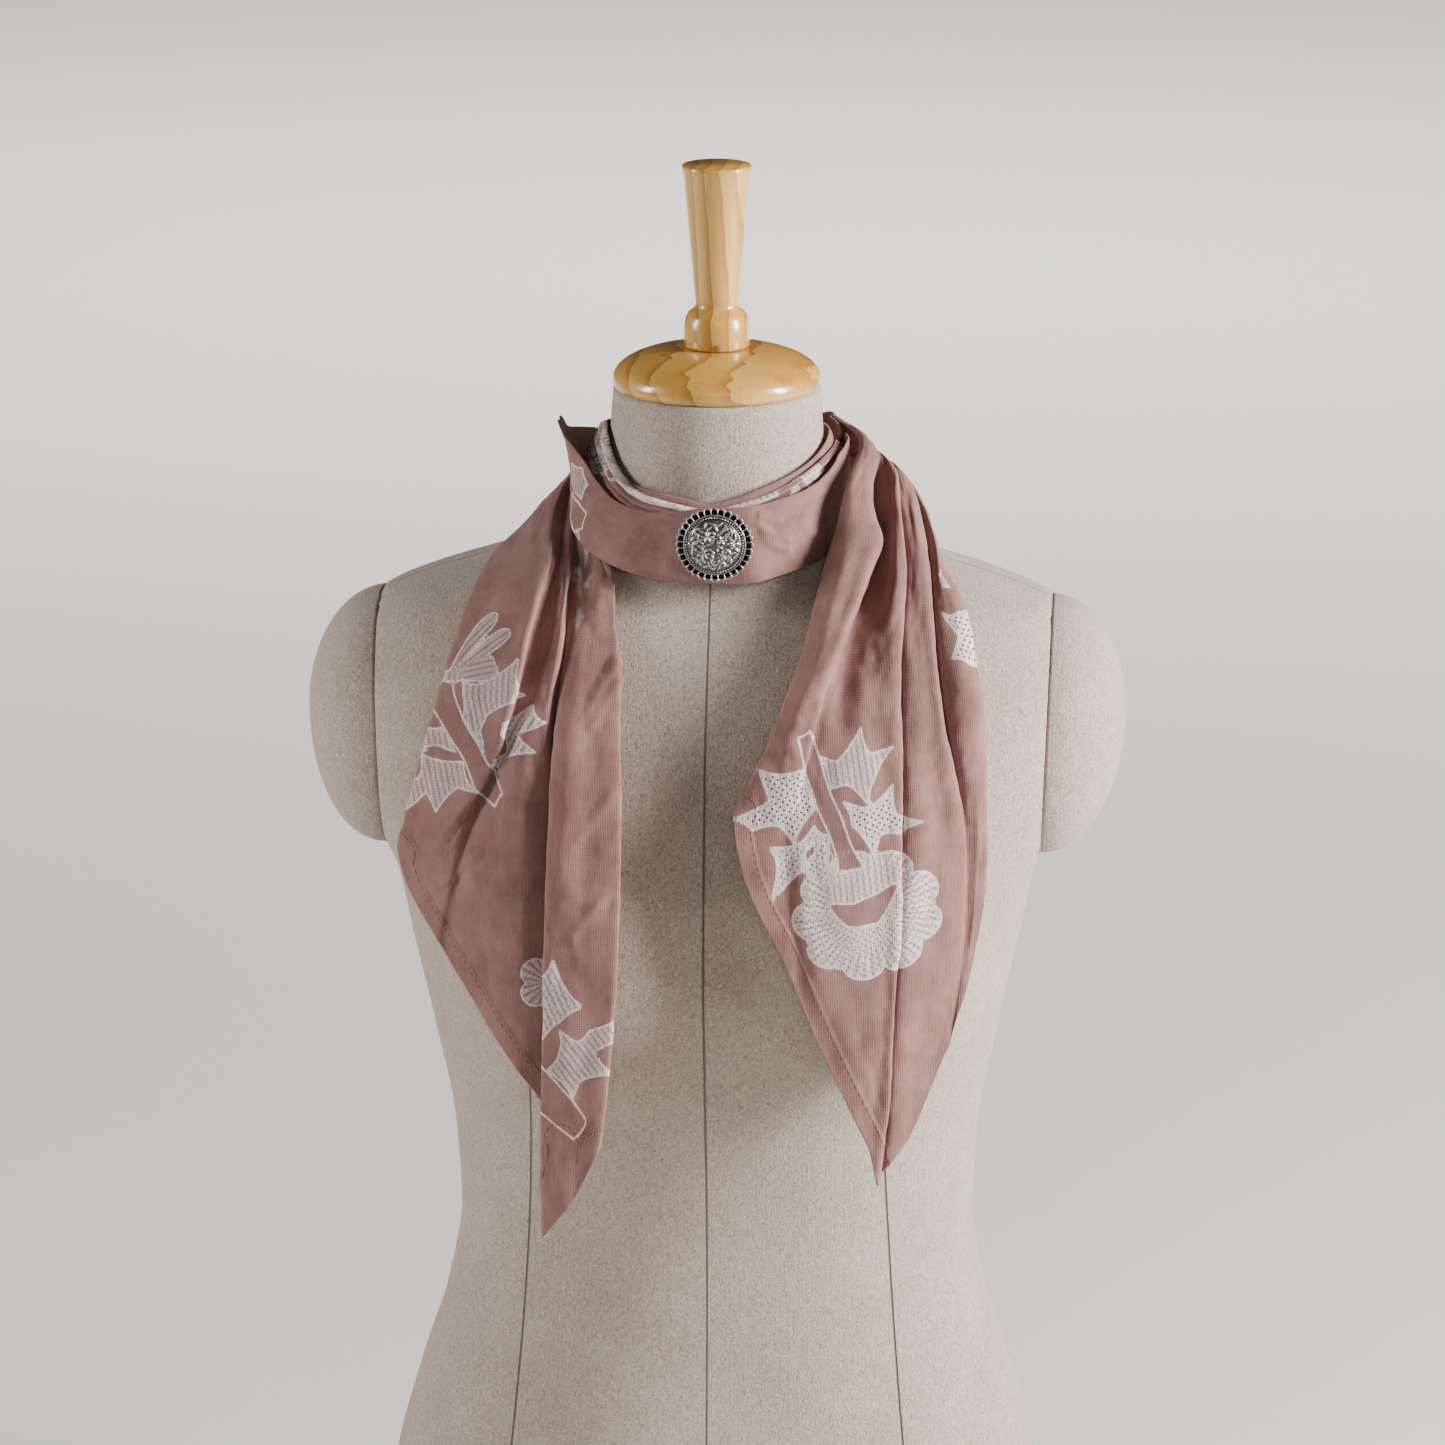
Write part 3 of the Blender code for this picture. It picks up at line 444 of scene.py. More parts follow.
# cast white metal, blackened and rubbed bright: dark in the hollows, silver on the high places
def makeSilver():
    mat, tree, shader = newMaterial("blackenedSilver", {"Metallic": 1.0})
    coords = addNode(tree, "TexCoord")
    hollow = addNode(tree, "Attribute", {"attribute_name": "relief"})
    worn = addNode(tree, "TexNoise", inputs={
        "Vector": coords.outputs["Object"], "Scale": 700.0, "Detail": 4.0, "Roughness": 0.7})
    spread = addNode(tree, "Math", multiplyAdd, [worn, 0.3, -0.15])
    height = addNode(tree, "Math", add, [spread, hollow.outputs["Fac"]])
    ramp = addNode(tree, "ValToRGB", inputs=[height], stops=(
        (0.1, linearColour("1c1b1b")), (0.85, linearColour("d8d6d3")), (0.42, linearColour("6e6b68"))))
    tree.links.new(ramp.outputs[0], shader.inputs["Base Color"])
    rough = addNode(tree, "MapRange", inputs=[height, 0.2, 0.9, 0.5, 0.24])
    tree.links.new(rough.outputs[0], shader.inputs["Roughness"])
    bump = addNode(tree, "Bump", inputs={"Strength": 0.3, "Distance": 0.0002, "Height": worn})
    tree.links.new(bump.outputs[0], shader.inputs["Normal"])
    return mat


jersey = makeJersey()
cottonPlain = makeCotton("roseCotton")
cottonPrinted = makeCotton("roseCottonPrinted", printed=True)
woodHandle = makeWood("varnishedWoodHandle", (1.0, 1.0, 0.16))
woodBoard = makeWood("varnishedWoodBoard", (0.35, 1.0, 1.0))
silver = makeSilver()
print("materials made")


def makeTorso():
    levels = np.concatenate([np.linspace(*span) for span in form["levels"]])
    arcCount, sideCount = form["around"]
    rows = []
    for z in levels:
        half, front, back, power = [float(v) for v in torsoSection(z)]
        rounded = form["footRound"] * math.exp(-z / 1.2)
        half, front, back = half - rounded, front - rounded, back - rounded
        seam = armholeX(z)
        cut = form["armholeLow"][1] - 5.0 < z < form["armholeHigh"][1] + 4.0
        corner = 0.3
        if cut and half > seam:
            corner = max(corner, math.acos((seam / half) ** (power / 2.0)))
        arc = np.linspace(corner, math.pi - corner, arcCount)
        side = np.linspace(math.pi - corner, math.pi + corner, sideCount + 2)[1:-1]
        angles = np.concatenate((arc, side, arc + math.pi, side + math.pi, arc[:1] + 2.0 * math.pi))
        c, s = np.cos(angles), np.sin(angles)
        x = half * np.sign(c) * np.abs(c) ** (2.0 / power)
        y = np.where(s > 0.0, back, front) * np.sign(s) * np.abs(s) ** (2.0 / power)
        y = y - np.where(s < 0.0, bust(x, z) * np.minimum(1.0, -2.0 * s), 0.0)
        if cut:
            x = np.clip(x, -seam, seam)
        rows.append(np.stack([x, y, np.full(len(x), z)], axis=1))
    obj = gridPiece("formJersey", np.array(rows), weld=True)[0]
    closeEnds(obj)
    finishPiece(obj, jersey, "form_torso")


def makeArmCap(name, sign, node):
    lean = (form["armholeHigh"][0] - form["armholeLow"][0]) / (form["armholeHigh"][1] - form["armholeLow"][1])
    rows = []
    rings, around = form["capRings"], form["capAround"]
    for share in [math.cos(0.5 * math.pi * k / rings) for k in range(rings)] + [0.0005]:
        rise = form["capBulge"] * math.sqrt(max(0.0, 1.0 - share * share))
        line = []
        for j in range(around + 1):
            a = 2.0 * math.pi * (j + 0.5) / around
            up = form["capHalfHeight"] * math.sin(a)
            half, front, back, power = [float(v) for v in torsoSection(form["capCentre"] + up)]
            t = min(1.0, armholeX(form["capCentre"] + up) / half)
            depth = (front if math.cos(a) < 0.0 else back) * (1.0 - t ** power) ** (1.0 / power)
            soften = min(1.0, abs(math.cos(a)) * 3.0) ** 0.5
            y = share * math.copysign(depth * soften, math.cos(a))
            z = form["capCentre"] + share * up + form["capRaise"] * (1.0 - share)
            x = armholeX(z) + form["seam"] + rise
            line.append((sign * x, y, z - rise * lean))
        rows.append(line)
    obj = gridPiece(name, np.array(rows), weld=True)[0]
    closeEnds(obj)
    finishPiece(obj, jersey, node)


makeTorso()
makeArmCap("armCapRight", 1.0, "form_arm_cap_right")
makeArmCap("armCapLeft", -1.0, "form_arm_cap_left")


def turnedPiece(name, profile, steps, material, node):
    bm = bmesh.new()
    spinProfile(bm, [(r * mm, z * mm) for r, z in profile], steps, 1e-6)
    bmesh.ops.recalc_face_normals(bm, faces=bm.faces)
    sortElements(bm)
    finishPiece(linkPiece(name, bm), material, node)


# turned wood, in mm: foot of the board as (radius, height), then a rounded edge up to its flat top
neckBoard = {
    "foot": ((0.0, 706.0), (52.6, 706.0), (53.6, 706.2), (54.4, 707.0), (54.9, 708.4)),
    "widest": 710.5,
    "radius": 55.0,
    "flat": 17.0,
    "top": 727.0,
    "edgeSteps": 24,
    "steps": 128,
}


def makeNeckBoard():
    profile = list(neckBoard["foot"])
    for i in range(neckBoard["edgeSteps"] + 1):
        a = 0.5 * math.pi * i / neckBoard["edgeSteps"]
        radius = neckBoard["flat"] + (neckBoard["radius"] - neckBoard["flat"]) * math.cos(a)
        profile.append((radius, neckBoard["widest"] + (neckBoard["top"] - neckBoard["widest"]) * math.sin(a)))
    profile.append((0.0, neckBoard["top"]))
    turnedPiece("neckBoard", profile, neckBoard["steps"], woodBoard, "form_neck_board")


handle = {
    "profile": (
        (0.0, 727.3), (16.2, 727.3), (16.9, 727.7), (17.25, 728.7), (17.3, 736.0), (17.1, 740.0), (16.3, 743.2),
        (14.8, 745.9), (12.8, 747.4), (11.5, 748.6), (11.1, 750.4), (11.5, 754.0), (17.3, 818.0),
        (17.9, 820.6), (18.3, 822.3), (18.2, 823.4), (17.6, 824.0), (0.0, 824.0)),
    "steps": 96,
}


makeNeckBoard()
turnedPiece("turnedHandle", handle["profile"], handle["steps"], woodHandle, "form_handle")


# how far the hanging cloth stands out in front, in mm
drape = columns((
    # height, depth at the middle, half width
    (240, 143, 206), (300, 146, 206), (400, 146, 206), (430, 143, 206),
    (470, 136, 206), (520, 122, 206), (560, 107, 206), (600, 86, 190),
    (620, 71, 142), (640, 60, 112)))
cloth = {
    # heights at which a fold row gives x, and how far it lifts
    "hangLevels": (620.0, 590.0, 550.0, 500.0, 450.0, 400.0, 350.0),
    "liftLevels": (420.0, 500.0, 560.0, 620.0),
    "thick": 0.8,
    # stretch, size, height, and what is added to the seed of the piece
    "wrinkles": ((3.0, 11.0, 1.1, 0.0), (2.0, 4.5, 0.42, 5.0)),
    # the hem is a second layer: its height, and where it starts and ends in from the edge
    "hem": (0.45, 10.0, 8.6),
    # flat cloth is measured on from this height over the shoulder
    "shoulder": 560.0,
    # widening of the flat cloth at a tuck
    "tuckDepth": 40.0,
    # least distance from the form: of a fold's back and front, and of the finished cloth
    "clear": (5.5, 2.0, 1.1),
}


def drapeDepth(x, z):
    depth = rowCurve(drape[0], drape[1], z)
    half = rowCurve(drape[0], drape[2], z)
    t = np.minimum(np.abs(x) / half, 0.98)
    return depth * (1.0 - t ** 2.2) ** (1.0 / 2.2)


def ringPoint(turnDeg, radius, z):
    turn = math.radians(turnDeg)
    return (radius * math.sin(turn), -radius * math.cos(turn), z)


def hangPoint(x, z, lifts):
    lift = float(rowCurve(cloth["liftLevels"], lifts[::-1], z))
    skin = float(torsoFront(x, z))
    out = max(max(float(drapeDepth(x, z)), skin + cloth["clear"][0]) + lift, skin + cloth["clear"][1])
    return (x, -out, z)


def fillCurve(points, knots, at):
    step = np.diff(knots)[:, None]
    slope = np.diff(points, axis=0) / step
    tangent = np.zeros_like(points)
    tangent[0] = slope[0]
    tangent[-1] = slope[-1]
    tangent[1:-1] = (slope[:-1] * step[1:] + slope[1:] * step[:-1]) / (step[1:] + step[:-1])
    k = np.clip(np.searchsorted(knots, at, side="right") - 1, 0, len(knots) - 2)
    h = step[k]
    t = ((at - knots[k])[:, None]) / h
    return blend(t, h, points[k], tangent[k], points[k + 1], tangent[k + 1])


def runLength(points):
    return np.concatenate(([0.0], np.cumsum(np.linalg.norm(np.diff(points, axis=0), axis=1))))


# knots that keep a curve from overshooting between points set unevenly
def rootKnots(points, least):
    gaps = np.sqrt(np.linalg.norm(np.diff(points, axis=0), axis=1))
    return np.concatenate(([0.0], np.cumsum(np.maximum(gaps, least))))


def spaceCurve(points, firstSteps, rest):
    points = np.asarray(points, float)
    knots = rootKnots(points, 1e-3)
    at = []
    for k, count in enumerate(firstSteps):
        at.extend(np.linspace(knots[k], knots[k + 1], count, endpoint=False))
    tail = np.linspace(knots[len(firstSteps)], knots[-1], 400)
    run = runLength(fillCurve(points, knots, tail))
    at.extend(np.interp(np.linspace(0.0, run[-1], rest), run, tail))
    return fillCurve(points, knots, np.array(at))


# swell pushes a fold sideways just under the neck
def foldLine(row, firstSteps, rest, swells):
    name, start, side, top, hang, end, lifts = row
    points = [ringPoint(*start), ringPoint(*side), ringPoint(*top)]
    for x, z in zip(hang, cloth["hangLevels"]):
        if z > end[1] + 12.0:
            points.append(hangPoint(x, z, lifts))
    points.append(hangPoint(end[0], end[1], lifts))
    curve = spaceCurve(points, firstSteps, rest)
    if name in swells:
        size, height, reach = swells[name]
        curve[:, 0] += size * np.exp(-((curve[:, 2] - height) / reach) ** 2) * (curve[:, 1] < -30.0)
    return curve


# rows run from hem to nape, columns from left to right
def tailGrid(folds, firstSteps, rest, perFold, swells):
    lines = np.stack([foldLine(row, firstSteps, rest, swells) for row in folds], axis=1)
    grid = []
    spans = np.linspace(0.0, len(folds) - 1.0, (len(folds) - 1) * perFold + 1)
    for row in lines:
        knots = rootKnots(row, 0.3)
        at = np.interp(spans, np.arange(len(folds)), knots)
        grid.append(fillCurve(row, knots, at))
    return np.array(grid)[::-1]


def gridNormals(points):
    across = np.gradient(points, axis=1)
    up = np.gradient(points, axis=0)
    normal = np.cross(across, up)
    return normal / np.maximum(np.linalg.norm(normal, axis=2, keepdims=True), 1e-9)


# share of the way from a to b at which a point is nearest, and its distance there
def nearestOn(x, z, a, b):
    dx, dz = b[0] - a[0], b[1] - a[1]
    t = np.clip(((x - a[0]) * dx + (z - a[1]) * dz) / max(dx * dx + dz * dz, 1e-9), 0.0, 1.0)
    return t, np.hypot(x - a[0] - t * dx, z - a[1] - t * dz)


def lineDistance(x, z, line):
    away = np.full(x.shape, 1e9)
    for a, b in zip(line, line[1:]):
        away = np.minimum(away, nearestOn(x, z, a, b)[1])
    return away


# soft ridge or lip along a line given as (x, z); lip: left side raised, right side sunk
def creaseOffset(x, z, crease):
    kind, height, width, line = crease
    best = np.full(x.shape, 1e9)
    offset = np.zeros(x.shape)
    for k, (a, b) in enumerate(zip(line, line[1:])):
        held, away = nearestOn(x, z, a, b)
        run = (k + held) / (len(line) - 1)
        fade = smooth(0.0, 0.1, run) * smooth(1.0, 0.86, run)
        if kind == "lip":
            side = np.sign((x - a[0]) * (b[1] - a[1]) - (z - a[1]) * (b[0] - a[0]))
            shape = np.exp(-away / width) * np.tanh(side * away / 0.8)
        else:
            shape = np.exp(-(away / width) ** 2)
        offset = np.where(away < best, height * fade * shape, offset)
        best = np.minimum(best, away)
    return offset


def wrinkles(flat, along, size, height, seed):
    out = np.zeros(flat.shape[:2])
    for i in range(flat.shape[0]):
        for j in range(flat.shape[1]):
            u, v = flat[i, j]
            out[i, j] = noise.noise(Vector((u / size, v / (size * along), seed)))
    return out * height


# signed distance to a shape with corners, positive inside; bow is the share that each side is pulled inwards
def shapeDistance(x, z, corners, bow):
    centre = np.mean(np.array(corners, float), axis=0)
    outline = []
    for k, a in enumerate(corners):
        b = corners[(k + 1) % len(corners)]
        middle = [(a[i] + b[i]) / 2.0 for i in (0, 1)]
        middle = [middle[i] + bow * (centre[i] - middle[i]) for i in (0, 1)]
        for t in (0.0, 0.25, 0.5, 0.75):
            s = 1.0 - t
            outline.append([s * s * a[i] + 2 * s * t * middle[i] + t * t * b[i] for i in (0, 1)])
    loop = outline + outline[:1]
    inside = np.zeros(x.shape, bool)
    for a, b in zip(loop, loop[1:]):
        dx, dz = b[0] - a[0], b[1] - a[1]
        if abs(dz) > 1e-9:
            crosses = (a[1] > z) != (b[1] > z)
            inside ^= crosses & (x < a[0] + (z - a[1]) * dx / dz)
    away = lineDistance(x, z, loop)
    return np.where(inside, away, -away)


# scalloped round flower, positive inside
def flowerDistance(x, z, centre, radius, lobes, dip, turn, squash):
    side, up = x - centre[0], (z - centre[1]) / squash
    angle = np.arctan2(up, side) + math.radians(turn)
    edge = radius * (1.0 - dip + dip * np.abs(np.cos(lobes * angle / 2.0)) ** 0.5)
    return (edge - np.hypot(side, up)) * squash, angle, np.hypot(side, up)


# drop-shaped petal from a point to a round tip
def petalDistance(x, z, base, tip, width):
    dx, dz = tip[0] - base[0], tip[1] - base[1]
    long = math.hypot(dx, dz)
    along = ((x - base[0]) * dx + (z - base[1]) * dz) / long
    off = np.abs((x - base[0]) * dz - (z - base[1]) * dx) / long
    t = np.clip(along / long, 0.0, 1.0)
    half = width * t ** 0.6 * np.sqrt(np.maximum(1.0 - t ** 6, 0.0))
    return half - np.hypot(off, along - t * long)


# share that the sides of each kind of shape are pulled inwards
bows = {"smear": 0.1, "void": -0.35, "hollow": -0.12, "stem": 0.04, "leaf": 0.22, "plain": 0.0}
# bare edge, in mm, left in the white round what is cut out of it
bareEdge = {"void": 0.0, "hollow": 1.5, "stem": 0.6}


# attributes that carry the print over one piece; motif rows: kind, density, turn of the beaded rows, corners
def addMotifs(obj, order, x, z, motifs):
    fill, stem, ray = np.full(x.shape, -9.0), np.full(x.shape, -9.0), np.full(x.shape, 9.0)
    dense, across, along, smear = [np.zeros(x.shape) for k in range(4)]
    for kind, weight, turn, data in motifs:
        a = math.radians(turn)
        rowAcross = -(x * math.sin(a)) + z * math.cos(a)
        rowAlong = x * math.cos(a) + z * math.sin(a)
        if kind in bows:
            shape = shapeDistance(x, z, data, bows[kind])
        if kind == "smear":
            smear = np.maximum(smear, weight * smooth(-0.9, 1.1, shape))
            continue
        if kind in bareEdge:
            fill = np.minimum(fill, -shape - bareEdge[kind])
            if kind == "stem":
                stem = np.maximum(stem, shape)
            continue
        if kind == "disc":
            near = np.hypot(x - data[0][0], z - data[0][1]) < data[1]
        else:
            if kind == "petal":
                shape = petalDistance(x, z, *data)
            elif kind == "flower":
                shape, spin, reach = flowerDistance(x, z, *data)
                radius, lobes = data[1], data[2]
                rowAcross = spin * radius * 0.62
                rowAlong = reach
                split = reach * np.cos(lobes * spin / 2.0) * 2.0 / lobes
                ray = np.where((shape > 0.0) & (reach > 0.58 * radius), split, ray)
            over = shape > fill
            fill = np.where(over, shape, fill)
            near = over & (shape > -2.5)
        dense = np.where(near, weight, dense)
        across = np.where(near, rowAcross, across)
        along = np.where(near, rowAlong, along)
    for key, values in (("printFill", fill), ("printStem", stem), ("printRay", ray)):
        setAttribute(obj, key, order, np.clip(values, -9.0, 9.0))
    for key, values in (
            ("printDense", dense), ("printAcross", across), ("printAlong", along), ("printSmear", smear)):
        setAttribute(obj, key, order, values)


# the two hanging ends, in mm; tuck and sewn count folds from the left
# fold rows: start, side and top as (turn, radius, height), x at each level, hem point, lift at each lift level
rightTail = {
    "folds": (
        ("innerReturn", (126, 72.6, 682), (91, 75, 676.5), (61.5, 80, 662),
         (62, 54, 40.5), (20.5, 509), (0, -3.4, -5, -5)),
        ("innerEdge", (126, 73.9, 681.6), (90, 77.5, 678.5), (59.5, 82.5, 662),
         (59, 51.5, 37), (17, 507), (2, 1, 1, 0)),
        ("firstRidge", (126, 75.4, 680.2), (88, 81, 677), (60, 87, 660.5),
         (67.5, 60, 46), (23, 474), (13, 8, 3, 0)),
        ("firstLip", (126, 76.2, 678), (87, 84, 674.5), (65, 91.5, 659),
         (80, 68.5, 57, 46), (42, 435), (12, 7, 2, 0)),
        ("firstUnder", (126, 76.6, 676), (87.5, 84.6, 672.5), (67, 88.5, 656),
         (78.5, 67.5, 57.6, 48), (46, 426), (3, 4.4, 2, 0)),
        ("darkGap", (126, 77.2, 671.5), (87.4, 86.2, 669.5), (75, 86.5, 649),
         (85, 73, 65, 60, 56), (61, 390), (-12, 4.2, 3.4, 1.4)),
        ("middleRise", (126, 77.8, 668.5), (86, 89.5, 668), (74.5, 96, 653.5),
         (91.5, 84, 81, 80, 79, 79), (80, 348), (-4, 6.6, 5, 3.2)),
        ("middleRidge", (126, 78, 667), (84, 92, 668.5), (71, 100, 654),
         (97.5, 95, 95, 96, 95, 93.5), (88, 330), (11, 6.4, 4.2, 3.2)),
        ("creaseLip", (126, 78.2, 665.5), (83.4, 94, 667.5), (69.8, 103.5, 652),
         (102.4, 100.6, 101.6, 103, 102.6, 99.8, 97.7), (92.2, 311), (11.5, 5.8, 4.2, 3.8)),
        ("rightFoot", (126, 78.5, 662.5), (84, 95, 665.5), (72, 102.8, 649.5),
         (101.4, 99.6, 100.6, 102, 101.6, 98.8, 97), (92.8, 314.5), (1, -3.5, -1.5, -1)),
        ("rightShoulder", (126, 78.6, 661), (84, 96, 666), (72.2, 105.6, 649.6),
         (104.4, 102.6, 103.8, 105.2, 104.8, 101.6, 98.8), (97, 319.5), (6, 4.5, 3.2, 2)),
        ("secondRidge", (126, 78.8, 659), (83.5, 98.5, 663.5), (72, 110.5, 648),
         (110, 111.5, 117, 121, 119, 116), (109, 336), (8.5, 6, 3, 0.8)),
        ("secondLip", (126, 79, 657.4), (84, 100.3, 661.5), (73.2, 114, 644.5),
         (114, 117.8, 123.5, 134, 134), (126, 378), (9, 6.5, 2.8, 0.6)),
        ("longValley", (126, 79.1, 656), (84.8, 99.4, 659.4), (75, 110.8, 640.4),
         (113.2, 117, 122.6, 134.4, 136), (128.6, 383), (-3, -4.5, 0.2, 0.4)),
        ("outerShoulder", (126, 79.3, 655), (84.8, 102, 658), (74.4, 115.6, 641.6),
         (116.4, 120.6, 127.2, 138, 138.4), (132, 396), (5, 3.5, 2, 0.5)),
        ("outerRidge", (126, 79.5, 653), (85, 103.4, 655.5), (73.5, 118.5, 642),
         (120.5, 130, 137, 142, 140.5), (138, 415), (10, 6, 3.5, 1)),
        ("outerEdge", (126, 80, 650), (85, 104.5, 650.5), (73.5, 120.5, 635.5),
         (123.5, 136.5, 143, 146), (146, 468), (6, 0, 0, 0)),
        ("outerReturn", (126, 80.2, 647.4), (85.5, 103.6, 647), (74.4, 119, 632),
         (119.5, 133.5, 139.8, 143), (143.4, 465.5), (0, -6, -6, -6)),
    ),
    "tuck": 20,
    "sewn": 8,
    "swells": {"firstRidge": (4, 640, 14), "firstLip": (7.5, 637, 12), "firstUnder": (6.5, 637, 12),
        "darkGap": (6, 640, 14)},
    "steps": (26, 26, 18),
    "rest": 215,
    "perFold": 8,
    "creases": (
        ("ridge", 1.6, 4, ((74, 641), (67, 614), (60, 587), (50, 560), (40, 535))),
        ("ridge", 1, 3, ((86, 640), (80, 618), (70, 595), (60, 570))),
        ("ridge", 0.9, 2.6, ((84, 632), (74, 606), (64, 584), (55, 562))),
        ("ridge", 1.4, 4, ((125, 620), (133, 590), (140, 560), (143, 520))),
        ("ridge", 1, 4, ((127, 600), (131, 575), (133, 540), (136, 515))),
        ("ridge", 0.8, 3, ((32, 551), (42, 545), (52, 541))),
        ("ridge", 0.7, 2, ((31, 548), (42, 542), (50, 539))),
        ("ridge", 1, 6, ((112, 560), (113, 520), (110, 470), (104, 420))),
    ),
    "motifs": (
        ("leaf", 1, 98, ((53, 531), (29, 530), (35, 515), (15, 505), (26, 500), (40, 503), (48, 493), (60, 512))),
        ("leaf", 0.8, 96, ((58, 503), (50, 493), (34, 492), (39, 483), (35, 462), (52, 480), (62, 474),
         (71, 478), (66, 498))),
        ("leaf", 0.35, 100, ((60, 537), (69, 534), (81, 551), (86, 538), (98, 541), (88, 524), (86, 512),
         (75, 523), (66, 520))),
        ("leaf", 1, 94, ((72, 515), (85, 511), (98, 522), (100, 507), (114, 502), (103, 497), (92, 497),
         (89, 486), (77, 503))),
        ("void", 0, 0, ((58, 511), (54.5, 502), (49, 494), (52.5, 503))),
        ("void", 0, 0, ((61, 496), (58.5, 489), (52, 482), (54, 490))),
        ("void", 0, 0, ((68, 493), (67.5, 486), (65, 477), (65, 486))),
        ("flower", 0.62, 0, ((86, 457), 38.5, 9, 0.2, 14, 0.87)),
        ("stem", 0, 0, ((49, 547), (55, 550), (60, 537), (66, 519), (72, 507), (77, 493), (84, 481),
         (71, 478), (70, 486), (66, 498), (59, 512), (53, 529))),
        ("disc", 0.4, 97, ((84, 471), 19)),
        ("hollow", 0, 0, ((68, 462), (77, 452.5), (91, 454), (100, 471), (92, 466.5), (79, 461.5))),
        ("leaf", 1, 80, ((128, 610), (138, 608), (154, 611), (154, 566), (139, 579), (131, 583), (136, 595))),
        ("leaf", 0.5, 60, ((131, 634), (135, 637), (138, 624), (133, 625))),
    ),
    "flat": (0.19, 0.52),
    "area": 0.048,
    "seed": 3.1,
}
